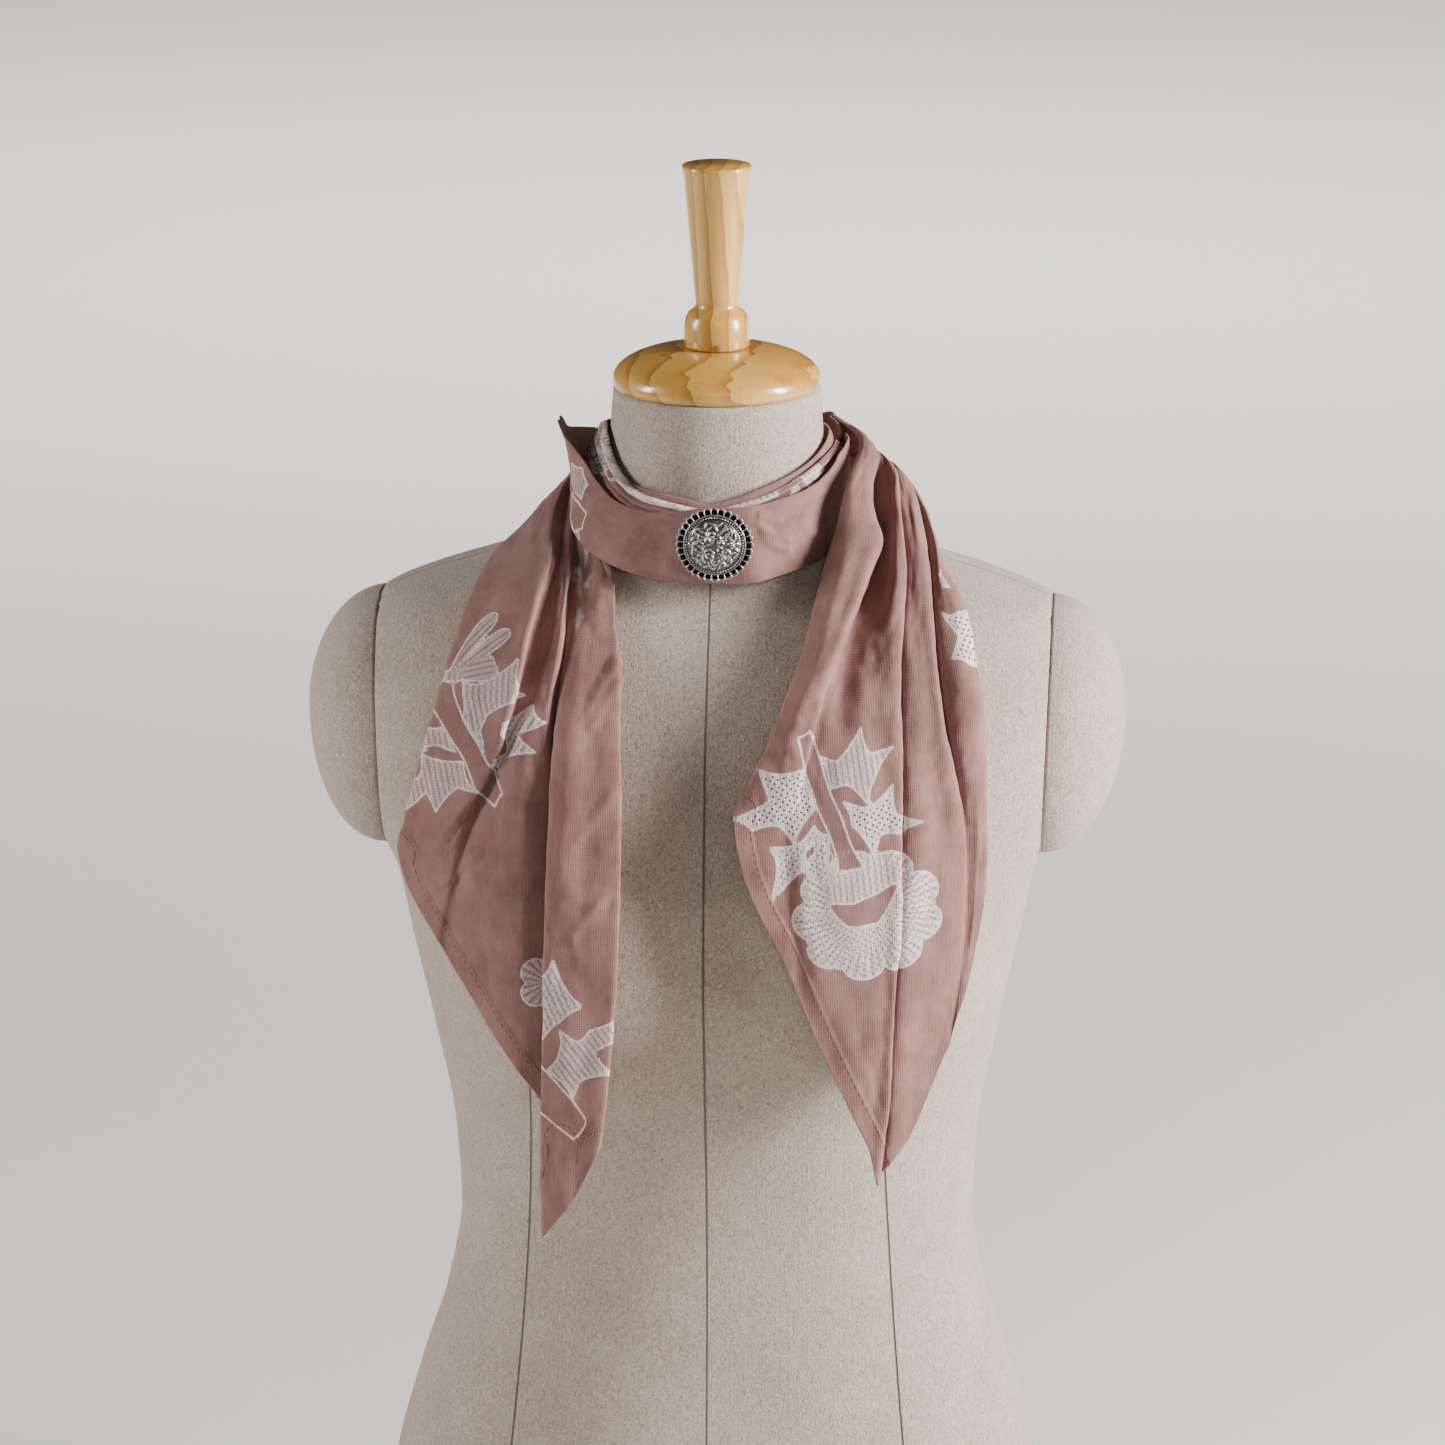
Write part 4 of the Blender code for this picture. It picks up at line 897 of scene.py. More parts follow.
leftTail = {
    "folds": (
        ("outerReturn", (-127.4, 72.4, 652), (-98.5, 88.6, 637), (-81, 103, 627.5),
         (-111.5, -128, -139.4, -153), (-159, 474.5), (-6, -6, -6, -6)),
        ("outerEdge", (-127, 72.8, 654.5), (-98, 90, 640.5), (-81, 104.5, 631),
         (-116.5, -131, -142.5, -156), (-162, 477), (0, 0, 0, 0)),
        ("outerSlope", (-126, 72.6, 657), (-97, 86, 646.5), (-82, 98, 637),
         (-108, -121, -132, -148), (-157, 460), (4, 3, 1, 0)),
        ("panelRidge", (-125, 72.2, 659.5), (-97, 81.5, 652), (-82.5, 92, 642),
         (-97, -109, -121, -138), (-150, 448), (7, 4, 2, 0)),
        ("panelEdge", (-123.5, 71.8, 661.5), (-97, 76.8, 657.6), (-81, 85, 645.5),
         (-85, -92, -101.5, -124), (-140, 434), (10, 6, 3.5, 1.5)),
        ("panelFoot", (-123, 71.6, 662), (-96.8, 75.6, 656.6), (-80.8, 82.6, 643.6),
         (-84, -90.6, -99.5, -121), (-136, 428), (2, 1, 0.5, 0)),
        ("deepGap", (-122, 71.4, 663), (-96.5, 74.4, 655.5), (-80.5, 80.5, 641.5),
         (-80.5, -86, -96, -113, -124), (-126, 414), (-4, 0.5, 2.2, 0.6)),
        ("middleLeft", (-120, 71, 664), (-95, 73.2, 656.6), (-78.5, 79, 641),
         (-78, -81, -90, -102, -109), (-112, 393), (-1, 3.4, 3.2, 1.6)),
        ("middleFace", (-118, 70.8, 665), (-93.5, 72.4, 657.6), (-76, 78.4, 641),
         (-76, -78, -85, -91, -94, -96), (-97, 371), (0, 3.4, 2.6, 1.6)),
        ("middleRidge", (-115.5, 70.5, 665.8), (-92, 71.8, 658.4), (-73.4, 77.6, 640),
         (-74, -75.6, -81.6, -84.5, -83.6, -84), (-84.5, 354), (0, 2.8, -1, -2.6)),
        ("tuckLow", (-113, 70.3, 666.5), (-90, 71.2, 658.8), (-70.2, 77, 638),
         (-73, -74.6, -77.4, -75.5, -72.5, -72), (-73, 336), (-7, -5.5, -4.8, -4)),
        ("tuckHigh", (-110, 70.1, 667), (-87.5, 70.8, 659), (-67, 77.4, 636.2),
         (-71.4, -73, -75.2, -73, -70.6, -70), (-71, 331), (-9, -4.4, -1.4, 0.2)),
        ("edgeLow", (-107, 70, 667.4), (-85, 70.4, 659.2), (-63.8, 78, 634.2),
         (-69.4, -71.8, -75.8, -78.2, -79.4, -80.2, -82), (-82, 284), (-9, -2, 1.8, 2.2)),
        ("edgeHigh", (-104, 69.9, 667.8), (-82, 70.2, 659.6), (-60.6, 78.6, 632.4),
         (-67.4, -70.4, -76, -79.2, -80.4, -81.4, -83), (-83, 280), (-8.4, -0.4, 4.7, 5)),
        ("stripFold", (-100, 69.8, 669.5), (-77, 70, 661), (-55, 79, 629.6),
         (-62.5, -63.5, -67.5, -72, -74, -75, -77), (-77, 287), (-7, 1.4, 6, 5.6)),
        ("stripFace", (-94, 69.8, 671.5), (-70.5, 70, 661), (-49, 79.2, 626.8),
         (-56, -55.5, -56.5, -58.5, -61, -62, -65), (-67, 300), (-4, -1, 3, 4)),
        ("innerEdge", (-86, 69.8, 673), (-62.5, 70, 659), (-43.6, 79, 624.6),
         (-51, -46.5, -43.5, -42, -42, -45, -49), (-52, 333), (-3, -3, 0, 1)),
        ("innerReturn", (-83.6, 69.8, 674), (-60.6, 70, 658.6), (-42.2, 77.4, 624.4),
         (-50.4, -48, -46.6, -45.2, -45.2, -48.2, -52.2), (-55, 330.5), (-6, -7, -5, -4)),
    ),
    "tuck": 10,
    "sewn": 17,
    "swells": {},
    "steps": (18, 20, 16),
    "rest": 230,
    "perFold": 8,
    "creases": (
        ("lip", 2.4, 3.6, ((-85, 622), (-88, 606), (-92, 591), (-95, 575), (-99, 558), (-103, 545), (-107, 531),
         (-113, 520), (-124, 501), (-136, 483), (-146, 468))),
        ("lip", 1.1, 2, ((-112, 483), (-120, 476), (-130, 466), (-141, 456), (-150, 447))),
        ("ridge", 0.8, 2.2, ((-122, 500), (-130, 486), (-140, 474))),
        ("ridge", 1.5, 6, ((-88, 560), (-92, 530), (-100, 500), (-112, 470))),
        ("ridge", 1.2, 6, ((-86, 530), (-90, 505), (-98, 480), (-108, 455), (-118, 430))),
        ("ridge", 1.2, 8, ((-100, 625), (-108, 600), (-116, 575), (-124, 550))),
        ("ridge", 1.7, 3, ((-44, 582), (-53, 568), (-62, 552))),
        ("ridge", 1.3, 3, ((-43, 573), (-52, 559), (-60, 545))),
        ("ridge", 1.3, 3.4, ((-44, 520), (-54, 505), (-66, 492))),
        ("ridge", 1, 3, ((-46, 470), (-58, 455), (-70, 440))),
        ("ridge", 1.4, 8, ((-66, 600), (-68, 570), (-68, 530), (-68, 480))),
        ("ridge", 2, 5, ((-72, 622), (-66, 612), (-58, 612), (-53, 620))),
        ("ridge", 1.4, 4, ((-70, 612), (-63, 603), (-56, 606), (-51, 613))),
    ),
    "motifs": (
        ("petal", 0.1, 60, ((-137, 570), (-122, 605), 5.2)),
        ("petal", 0.15, 48, ((-136, 568), (-111, 597), 5)),
        ("petal", 0.15, 20, ((-137, 570), (-113, 577), 9)),
        ("leaf", 0.2, 100, ((-140, 559), (-139, 571), (-131, 576), (-121, 572), (-133, 565), (-135, 559))),
        ("leaf", 0.3, 102, ((-128, 567), (-118, 567), (-101, 583), (-98, 567), (-94, 562), (-113, 552),
         (-117, 543), (-114, 529), (-126, 548))),
        ("leaf", 0.4, 60, ((-104, 549), (-89, 558), (-82, 550), (-97, 543), (-87, 535), (-103, 531),
         (-107, 522), (-111, 526))),
        ("leaf", 0.25, 104, ((-149, 527), (-125, 527), (-118, 513), (-128, 514), (-140, 499), (-146, 508),
         (-158, 496), (-155, 512), (-149, 517))),
        ("leaf", 0.25, 104, ((-147, 541), (-135, 543), (-130, 531), (-139, 532), (-149, 528))),
        ("void", 0, 0, ((-110, 546), (-104, 541), (-103, 533), (-112, 530), (-113, 540))),
        ("void", 0, 0, ((-147, 531), (-138, 533), (-129, 528), (-139, 526))),
        ("stem", 0, 0, ((-134, 566), (-126, 548), (-117, 536), (-109, 523), (-104, 513), (-108, 506),
         (-117, 511), (-124, 527), (-131, 535), (-143, 551), (-140, 566))),
        ("flower", 0.35, 0, ((-79, 417), 16, 5, 0.32, 0, 1)),
        ("leaf", 0.45, 115, ((-36, 432), (-29, 417), (-20, 408), (-32, 400), (-42, 389), (-45, 419))),
        ("leaf", 0.3, 125, ((-33, 396), (-23, 389), (-16, 397), (-4, 401), (-2, 391), (-16, 384), (-4, 371),
         (-22, 368), (-26, 358), (-40, 372), (-33, 383))),
        ("stem", 0, 0, ((-46, 378), (-34, 366), (-26, 357), (-18, 345), (-25, 335), (-46, 351))),
        ("smear", 0.6, 0, ((-33, 652), (-23.5, 653), (-28.5, 645), (-32, 635))),
        ("smear", 0.45, 0, ((-36, 636), (-34, 635), (-32, 625), (-36, 624))),
        ("smear", 0.4, 0, ((-31, 624), (-26, 632), (-23.5, 631), (-25.5, 623))),
        ("smear", 0.75, 0, ((-34.5, 613), (-32, 612), (-28, 607), (-29, 603.5), (-32, 598.5), (-33.5, 606))),
    ),
    "flat": (0.19, 0.56),
    "area": 0.047,
    "seed": 7.7,
}


def makeTail(name, tail, node):
    points = tailGrid(tail["folds"], tail["steps"], tail["rest"], tail["perFold"], tail["swells"])
    rows, cols = points.shape[:2]
    cut = tail["tuck"] * tail["perFold"]
    # flat cloth: as seen from the front where it hangs, then measured on over the shoulder
    flat = np.zeros((rows, cols, 2))
    for j in range(cols):
        low = int(np.argmin(np.abs(points[:, j, 2] - cloth["shoulder"]) + 1e3 * (points[:, j, 1] > -60.0)))
        run = runLength(points[:, j])
        hangs = np.arange(rows) <= low
        flat[:, j, 0] = np.where(hangs, points[:, j, 0], points[low, j, 0])
        flat[:, j, 1] = np.where(hangs, points[:, j, 2], points[low, j, 2] + run - run[low])
    flat[:, :, 0] += cloth["tuckDepth"] * smooth(cut, cut + tail["perFold"], np.arange(cols))[None, :]
    x, z = points[:, :, 0], points[:, :, 2]
    offset = np.zeros((rows, cols))
    hanging = smooth(-40.0, -62.0, points[:, :, 1]) * smooth(668.0, 640.0, z)
    for crease in tail["creases"]:
        offset += creaseOffset(x, z, crease) * hanging
    offset += sum(wrinkles(flat, *shape, tail["seed"] + more) for *shape, more in cloth["wrinkles"])
    edge = [(px, pz) for px, py, pz in points[0][:tail["sewn"] * tail["perFold"] + 1]]
    before, after = lineDistance(x, z, edge[:cut]), lineDistance(x, z, edge[cut:] or edge)
    hemEdge = np.where(np.arange(cols) < cut, before, after)
    offset += cloth["hem"][0] * smooth(cloth["hem"][1], cloth["hem"][2], hemEdge)
    points = points + gridNormals(points) * offset[:, :, None]
    # keep off the form
    x, z = points[:, :, 0], points[:, :, 2]
    skin = torsoFront(x, z) + cloth["clear"][2]
    front = (points[:, :, 1] < -30.0) & (z < 640.0)
    points[:, :, 1] = np.where(front, np.minimum(points[:, :, 1], -skin), points[:, :, 1])
    obj, order = gridPiece(name, points, flat)
    addMotifs(obj, order, flat[:, :, 0], flat[:, :, 1], tail["motifs"])
    hemRun = np.concatenate(([0.0], np.cumsum(np.linalg.norm(np.diff(points, axis=1), axis=2)[0])))
    setAttribute(obj, "hemEdge", order, hemEdge)
    setAttribute(obj, "hemRun", order, np.repeat(hemRun[None, :], rows, axis=0))
    addShell(obj, cloth["thick"])
    finishPiece(obj, cottonPrinted, node)


makeTail("rightTail", rightTail, "scarf_right_tail")
makeTail("leftTail", leftTail, "scarf_left_tail")


# stretches wound round the neck, in mm
# table rows: turn from the front, top, bottom, top radius, middle radius, bottom radius
def bandGrid(wound, turns):
    cols = columns(wound["table"])
    order = np.argsort(cols[0])
    top, bottom, r0, r1, r2 = [rowCurve(cols[0][order], cols[k][order], turns) for k in range(1, 6)]
    turnRad = np.radians(turns)
    rows = wound["size"][1]
    grid = []
    for i in range(rows):
        v = 1.0 - i / (rows - 1)
        radius = r0 * (1 - v) * (1 - 2 * v) + r1 * 4 * v * (1 - v) + r2 * v * (2 * v - 1)
        z = top + (bottom - top) * v
        if wound["rolls"]:
            radius = radius + wound["rollHeight"] * (abs(math.sin(math.pi * wound["rolls"] * v)) - 0.5)
        if "patch" in wound:
            middle, up, reach, most = wound["patch"]
            share = (radius * np.sin(turnRad) - middle) / reach
            hold = np.clip(1.0 - share * share, 0.0, 1.0) ** 2 * (np.abs(turns) < most)
            radius = radius + hold * (1.0 / np.maximum(np.cos(turnRad), 0.3) - 1.0) * radius
        radius = np.maximum(radius, torsoRadius(turnRad, z) + wound["gap"])
        grid.append(np.stack([radius * np.sin(turnRad), -radius * np.cos(turnRad), z], axis=1))
    return np.array(grid)


def makeWound(name, wound, material, node):
    turns = np.linspace(*wound["span"], wound["size"][0])
    points = bandGrid(wound, turns)
    flat = np.zeros(points.shape[:2] + (2,))
    flat[:, :, 0] = np.radians(turns)[None, :] * wound["flatRadius"]
    flat[:, :, 1] = points[:, :, 2]
    if "wrinkles" in wound:
        offset = wrinkles(flat, *wound["wrinkles"])
        for crease in wound.get("creases", ()):
            offset += creaseOffset(flat[:, :, 0], flat[:, :, 1], crease)
        if "patch" in wound:
            middle, up, reach, most = wound["patch"]
            away = np.hypot(points[:, :, 0] - middle, points[:, :, 2] - up)
            offset = offset * np.where(np.abs(turns)[None, :] < most, smooth(*wound["fadeIn"], away), 1.0)
        points = points + gridNormals(points) * offset[:, :, None]
    obj, order = gridPiece(name, points, flat, weld=wound.get("weld", False))
    if "motifs" in wound:
        addMotifs(obj, order, flat[:, :, 0], flat[:, :, 1], wound["motifs"])
        # no hem here, so its line lies far off
        setAttribute(obj, "hemEdge", order, np.full(points.shape[:2], 90.0))
        setAttribute(obj, "hemRun", order, np.zeros(points.shape[:2]))
    addShell(obj, wound["thick"])
    finishPiece(obj, material, node)


# wrinkles: stretch, size, height, seed
frontBand = {
    "table": (
        (-118, 675, 648, 76, 76.4, 77), (-104, 679, 649, 77, 76.6, 77),
        (-91, 683.5, 650, 79.6, 77, 77), (-86.6, 689.4, 652.6, 81.8, 77.8, 77.2),
        (-84.6, 690.6, 653.2, 82.6, 78, 77.3), (-82.8, 687.6, 654.2, 83.2, 78.2, 77.3),
        (-80.8, 689.6, 655.2, 84.2, 78.4, 77.4), (-78.6, 687.4, 652.2, 83.6, 78.4, 77.8),
        (-73, 681.5, 642.5, 80.5, 78.4, 79.4), (-66, 673.5, 636, 75.5, 78.2, 81),
        (-55, 661, 630, 71.5, 77.6, 82), (-44, 654.3, 625.6, 70.3, 77, 82),
        (-30, 651.6, 621, 70, 76, 80.4), (-15, 653.5, 618.4, 70, 75.2, 77.8),
        (-2, 656.3, 617.8, 70.2, 75, 76.6), (9, 656.8, 617.4, 70.2, 75, 76.8),
        (20, 657.3, 618.7, 70, 75.6, 78.6), (33, 659.5, 622, 70, 75.4, 78.6),
        (48, 663, 625.5, 69.6, 74, 76.8), (60, 668, 631, 69.4, 72.4, 74.6),
        (72, 675, 638, 69.2, 71.2, 73.2), (88, 678.5, 646, 69.2, 70.6, 72),
        (104, 678, 650, 69.4, 70.4, 71.4)),
    "span": (-118, 104),
    "size": (240, 44),
    # flat place under the brooch: x and height of its middle, reach, largest turn; creases fade in round it
    "patch": (3.8, 639.4, 30, 60),
    "fadeIn": (20.5, 27),
    "rolls": 0,
    "gap": 1.3,
    "flatRadius": 76,
    "thick": 0.8,
    "wrinkles": (0.4, 9, 0.55, 1.7),
    # creases in flat cloth: distance round from the front, height
    "creases": (
        ("ridge", 2, 2.2, ((24, 649), (30, 644), (36, 641), (46, 638))),
        ("ridge", 1.5, 2.6, ((25, 644), (31, 639), (38, 635), (46, 632))),
        ("ridge", 1.2, 2, ((26, 653), (33, 650), (42, 648))),
        ("ridge", 1, 5, ((52, 650), (62, 640), (74, 634))),
        ("ridge", 0.9, 6, ((-72, 658), (-55, 648), (-34, 641))),
        ("ridge", 1.1, 4, ((-78, 652), (-60, 641), (-40, 634))),
        ("ridge", 0.8, 4, ((-76, 646), (-60, 635), (-42, 628))),
        ("ridge", 0.7, 4, ((-24, 628), (-10, 623), (6, 622))),
        ("ridge", 0.8, 5, ((40, 640), (58, 640), (76, 646))),
    ),
    "motifs": (
        ("leaf", 0.1, 100, ((-95, 669), (-86, 668), (-80, 660), (-82, 652), (-90, 654), (-96, 658))),
        ("leaf", 0.1, 100, ((-90, 638), (-80, 641), (-77, 632), (-82, 622), (-88, 628))),
        ("stem", 0, 0, ((-94, 653), (-84, 650), (-75, 646), (-76, 638), (-83, 635), (-92, 640))),
    ),
    "flat": (0.30, 0.035),
}


nape = {
    "table": (
        (-118.4, 675, 647, 76, 77, 77.4), (-130, 676.5, 648, 75.6, 78, 78.6),
        (-150, 676, 634, 75, 78.6, 80), (-180, 675, 625, 74.6, 79, 81),
        (-210, 677, 634, 74.6, 78.6, 80.4), (-224, 680.4, 644, 75.4, 77.6, 80),
        (-232.4, 682.2, 648, 76.2, 77.4, 80), (-237.4, 682, 649, 71, 72, 73),
        (-246, 680.6, 650, 69.4, 69.8, 70.4)),
    "span": (-246.0, -118.4),
    "size": (110, 64),
    "rolls": 3,
    "rollHeight": 2.6,
    "gap": 1.3,
    "flatRadius": 77.0,
    "thick": 0.8,
    "wrinkles": (0.3, 8.0, 0.8, 4.4),
    "flat": (0.17, 0.048),
}


innerWrap = {
    "table": (
        (-180, 676, 652, 60.2, 60.8, 61), (-140, 668, 653, 59.4, 60, 60.4),
        (-100, 662, 650, 58.4, 59, 60), (-78, 665, 650, 58.6, 59.2, 60.2),
        (-62, 668.5, 648, 59.4, 60.2, 60.8), (-46, 663, 644, 60.4, 61.2, 61.6),
        (-30, 660.6, 642, 60.6, 61.4, 62.2), (-12, 658.4, 641, 60.8, 61.6, 62.6),
        (0, 655.6, 641, 61, 61.8, 62.8), (12, 658.6, 641, 60.8, 61.6, 62.6),
        (26, 663.4, 643, 60.6, 61.4, 62.2), (46, 669.5, 646, 60.4, 61.2, 61.6),
        (62, 674.5, 650, 60.4, 61, 61.4), (78, 679.5, 653, 60.2, 60.8, 61.2),
        (92, 682.5, 654, 60.2, 60.8, 61.2), (120, 681.5, 654, 60.2, 60.8, 61.2),
        (150, 678, 653, 60.2, 60.8, 61), (180, 676, 652, 60.2, 60.8, 61)),
    "span": (-180.0, 180.0),
    "size": (241, 40),
    "rolls": 3,
    "rollHeight": 1.6,
    "gap": 0.9,
    "flatRadius": 61.0,
    "thick": 0.7,
    "weld": True,
    "flat": (0.385, 0.0235),
}


printedStrip = {
    "table": (
        (-122, 680, 662, 59, 61.2, 63), (-106, 684, 662, 58.6, 62.6, 65.6),
        (-88, 687, 660, 59.2, 65.2, 68.6), (-72, 683, 656, 60.2, 66.6, 69),
        (-62, 675.6, 652, 61.4, 66.6, 67.4), (-50, 667, 646, 62.8, 67.2, 65.4),
        (-34, 658.8, 642, 63.6, 67.6, 65.4), (-16, 655.8, 640, 64.2, 66.8, 65.4),
        (0, 653.6, 639, 64.4, 65, 65.6), (16, 656.8, 640, 64.4, 64.6, 65.2),
        (34, 662.6, 644, 64.4, 64.4, 64.6), (52, 669.5, 649, 64.2, 64.2, 64.2),
        (72, 675, 652, 63.8, 63.8, 63.8), (92, 677, 656, 63.6, 63.6, 63.6)),
    "span": (-122, 92),
    "size": (220, 42),
    "rolls": 6,
    "rollHeight": 2.9,
    "gap": 0.8,
    "flatRadius": 64.5,
    "thick": 0.7,
    "wrinkles": (0.3, 8, 0.4, 9.4),
    "motifs": (
        ("plain", 0.8, -20, ((-140, 700), (2, 700), (2, 652), (-18, 654), (-38, 656.8), (-54, 663), (-66, 665),
         (-76, 664), (-100, 662), (-140, 660))),
        ("plain", 0.8, 12, ((4, 660), (20, 664), (35, 667), (36.5, 659), (20, 655.4), (4, 652))),
        ("plain", 0.6, 16, ((52.5, 667), (59, 676), (66, 680), (67.5, 668), (62.5, 665.5), (58.5, 659), (55, 664))),
        ("plain", 0.4, 16, ((43, 658.2), (50, 664.5), (49, 656.5))),
        ("plain", 0.2, 16, ((37, 663.4), (54, 669.4), (54, 668.2), (37, 662.4))),
        ("void", 0, 0, ((-98, 682), (-95, 681), (-92, 675), (-95, 676))),
        ("void", 0, 0, ((-81, 675), (-78.5, 674), (-77, 668), (-79.5, 669))),
        ("void", 0, 0, ((-66, 668), (-63, 668), (-58, 664), (-62, 664))),
    ),
    "flat": (0.24, 0.041),
}


makeWound("frontBand", frontBand, cottonPrinted, "scarf_front_band")
makeWound("napeWrap", nape, cottonPlain, "scarf_nape")
makeWound("innerWrap", innerWrap, cottonPlain, "scarf_inner_wrap")
makeWound("printedStrip", printedStrip, cottonPrinted, "scarf_printed_strip")


# brooch, in mm; bars, beads and scallops of the rim stand on its plate
brooch = {
    "centre": (3.8, -79.5, 639.4),
    "lean": 4.0,
    "cells": 32,
    # near and far end, width, low and high side
    "bar": (16.5, 19.0, 0.55, 0.8, 1.9),
    # reach, size, height
    "outerBead": (19.0, 0.62, 1.4),
    "innerBead": (14.75, 0.52, 1.7),
    "innerBeads": 64,
    # reach, size, wire, height
    "scallop": (18.3, 1.66, 0.33, 1.4),
    "rim": (
        (18.9, 0.0), (19.1, 0.5), (18.9, 1.0), (18.2, 0.9), (16.6, 0.9), (16.3, 1.5),
        (16.0, 1.75), (15.7, 1.5), (15.4, 1.35), (10.0, 1.35), (10.0, 0.0)),
    "rimSteps": 128,
    "domeRadius": 14.0,
    # height of the underside, of the edge, and rise to the crown
    "domeHeights": (1.9, 2.15, 2.6),
    "domeRings": 84,
    "domeSteps": 220,
    # closed pin behind the plate: wire, length and place, then radii, length, x and depth of its posts
    "pinWire": (0.5, 26.0),
    "pinPlace": (0.0, 3.8, -1.7),
    "post": (0.9, 0.7, 2.0),
    "postPlaces": ((-14.0, 3.8, -1.3), (14.0, 3.8, -1.3)),
}


def broochMatrix():
    turn = Matrix.Rotation(math.radians(90.0 + brooch["lean"]), 4, "X")
    return Matrix.Translation(Vector(brooch["centre"]) * mm) @ turn


# local axes: x across, y up, z out of the plate
def broochPiece(name, bm, relief, node):
    bmesh.ops.recalc_face_normals(bm, faces=bm.faces)
    sortElements(bm)
    heights = [relief(v.co) for v in bm.verts]
    bmesh.ops.scale(bm, vec=(mm, mm, mm), verts=bm.verts)
    bmesh.ops.transform(bm, matrix=broochMatrix(), verts=bm.verts)
    obj = linkPiece(name, bm)
    layer = obj.data.attributes.new("relief", "FLOAT", "POINT")
    layer.data.foreach_set("value", np.array(heights, np.float32))
    finishPiece(obj, silver, node)


def addBar(bm, angle, near, far, width, low, high):
    made = bmesh.ops.create_cube(bm, size=1.0)["verts"]
    bmesh.ops.scale(bm, vec=(far - near, width, high - low), verts=made)
    bmesh.ops.translate(bm, vec=((near + far) / 2.0, 0.0, (low + high) / 2.0), verts=made)
    edges = list({e for v in made for e in v.link_edges})
    bevelled = bmesh.ops.bevel(bm, geom=edges, offset=0.18, segments=1, profile=0.5, affect="EDGES", material=-1)
    verts = list({v for f in bevelled["faces"] for v in f.verts} | {v for v in made if v.is_valid})
    bmesh.ops.rotate(bm, cent=(0, 0, 0), matrix=Matrix.Rotation(angle, 3, "Z"), verts=verts)


def addBead(bm, angle, reach, size, out):
    made = bmesh.ops.create_uvsphere(bm, u_segments=8, v_segments=5, radius=size)["verts"]
    bmesh.ops.translate(bm, vec=(reach * math.cos(angle), reach * math.sin(angle), out), verts=made)


# half ring of round wire, open towards the middle
def addScallop(bm, angle, reach, size, wire, out):
    made = bmesh.ops.create_circle(bm, cap_ends=True, segments=8, radius=wire)["verts"]
    bmesh.ops.rotate(bm, cent=(0, 0, 0), matrix=Matrix.Rotation(math.radians(90.0), 3, "X"), verts=made)
    bmesh.ops.translate(bm, vec=(size, 0.0, 0.0), verts=made)
    bmesh.ops.rotate(bm, cent=(0, 0, 0), matrix=Matrix.Rotation(math.radians(-90.0), 3, "Z"), verts=made)
    before = set(bm.verts) - set(made)
    faces = [f for f in bm.faces if all(v in made for v in f.verts)]
    bmesh.ops.spin(bm, geom=faces, cent=(0, 0, 0), axis=(0, 0, 1), angle=math.pi, steps=9)
    verts = [v for v in bm.verts if v not in before]
    bmesh.ops.translate(bm, vec=(reach, 0.0, out), verts=verts)
    bmesh.ops.rotate(bm, cent=(0, 0, 0), matrix=Matrix.Rotation(angle, 3, "Z"), verts=verts)


def makeRim():
    bm = bmesh.new()
    spinProfile(bm, brooch["rim"], brooch["rimSteps"], 1e-5, closed=True)
    step = 2.0 * math.pi / brooch["cells"]
    for k in range(brooch["cells"]):
        addBar(bm, (k + 0.5) * step, *brooch["bar"])
        addBead(bm, (k + 0.5) * step, *brooch["outerBead"])
        addScallop(bm, k * step, *brooch["scallop"])
    for k in range(brooch["innerBeads"]):
        addBead(bm, 2.0 * math.pi * k / brooch["innerBeads"], *brooch["innerBead"])

    # black between the bars, darker inside the beads, brighter with height
    def relief(co):
        reach = math.hypot(co.x, co.y)
        if 16.55 < reach < 18.8 and co.z < 1.2:
            return 0.0
        if reach < 15.5 and co.z < 1.5:
            return 0.1
        return 0.22 + 0.52 * max(0.0, co.z - 0.8)
    broochPiece("broochRim", bm, relief, "brooch_rim")


# leaves in low relief, set in rings: ring radius, count, start, lean in degrees, length, width
leafRows = []
for ringReach, count, start, lean, length, width in (
        (12.0, 21, 8, 66, 4.2, 1.3), (9.8, 17, 0, -58, 4.4, 1.35), (7.6, 13, 12, 48, 4.2, 1.3),
        (5.4, 9, 20, -62, 4.0, 1.3), (3.0, 7, 0, 50, 3.4, 1.2)):
    for k in range(count):
        a = 2.0 * math.pi * k / count + math.radians(start)
        swing = lean if k % 2 else -0.6 * lean
        leafRows.append((ringReach * math.cos(a), ringReach * math.sin(a), math.degrees(a) + swing, length, width))
# flowers: x, y, size, petals
flowerRows = (
    (-5.6, -3.8, 3.9, 7), (-3.4, 5.4, 3.6, 6), (3.8, 3.6, 2.8, 6), (4.6, -4.6, 3.4, 7), (-0.4, -9.6, 2.2, 5),
    (9.6, 1.6, 2.2, 5))
# thin scrolls: x, y, radius, start and end of the arc in degrees
scrollRows = (
    (-8.4, 0.2, 2.8, 20, 250), (1.4, -6.6, 3.4, 190, 330), (7.2, -8.0, 2.4, 60, 250), (6.4, 7.4, 2.8, -60, 130),
    (-8.8, 6.6, 2.4, 60, 260), (-7.0, -9.2, 2.2, 0, 200))


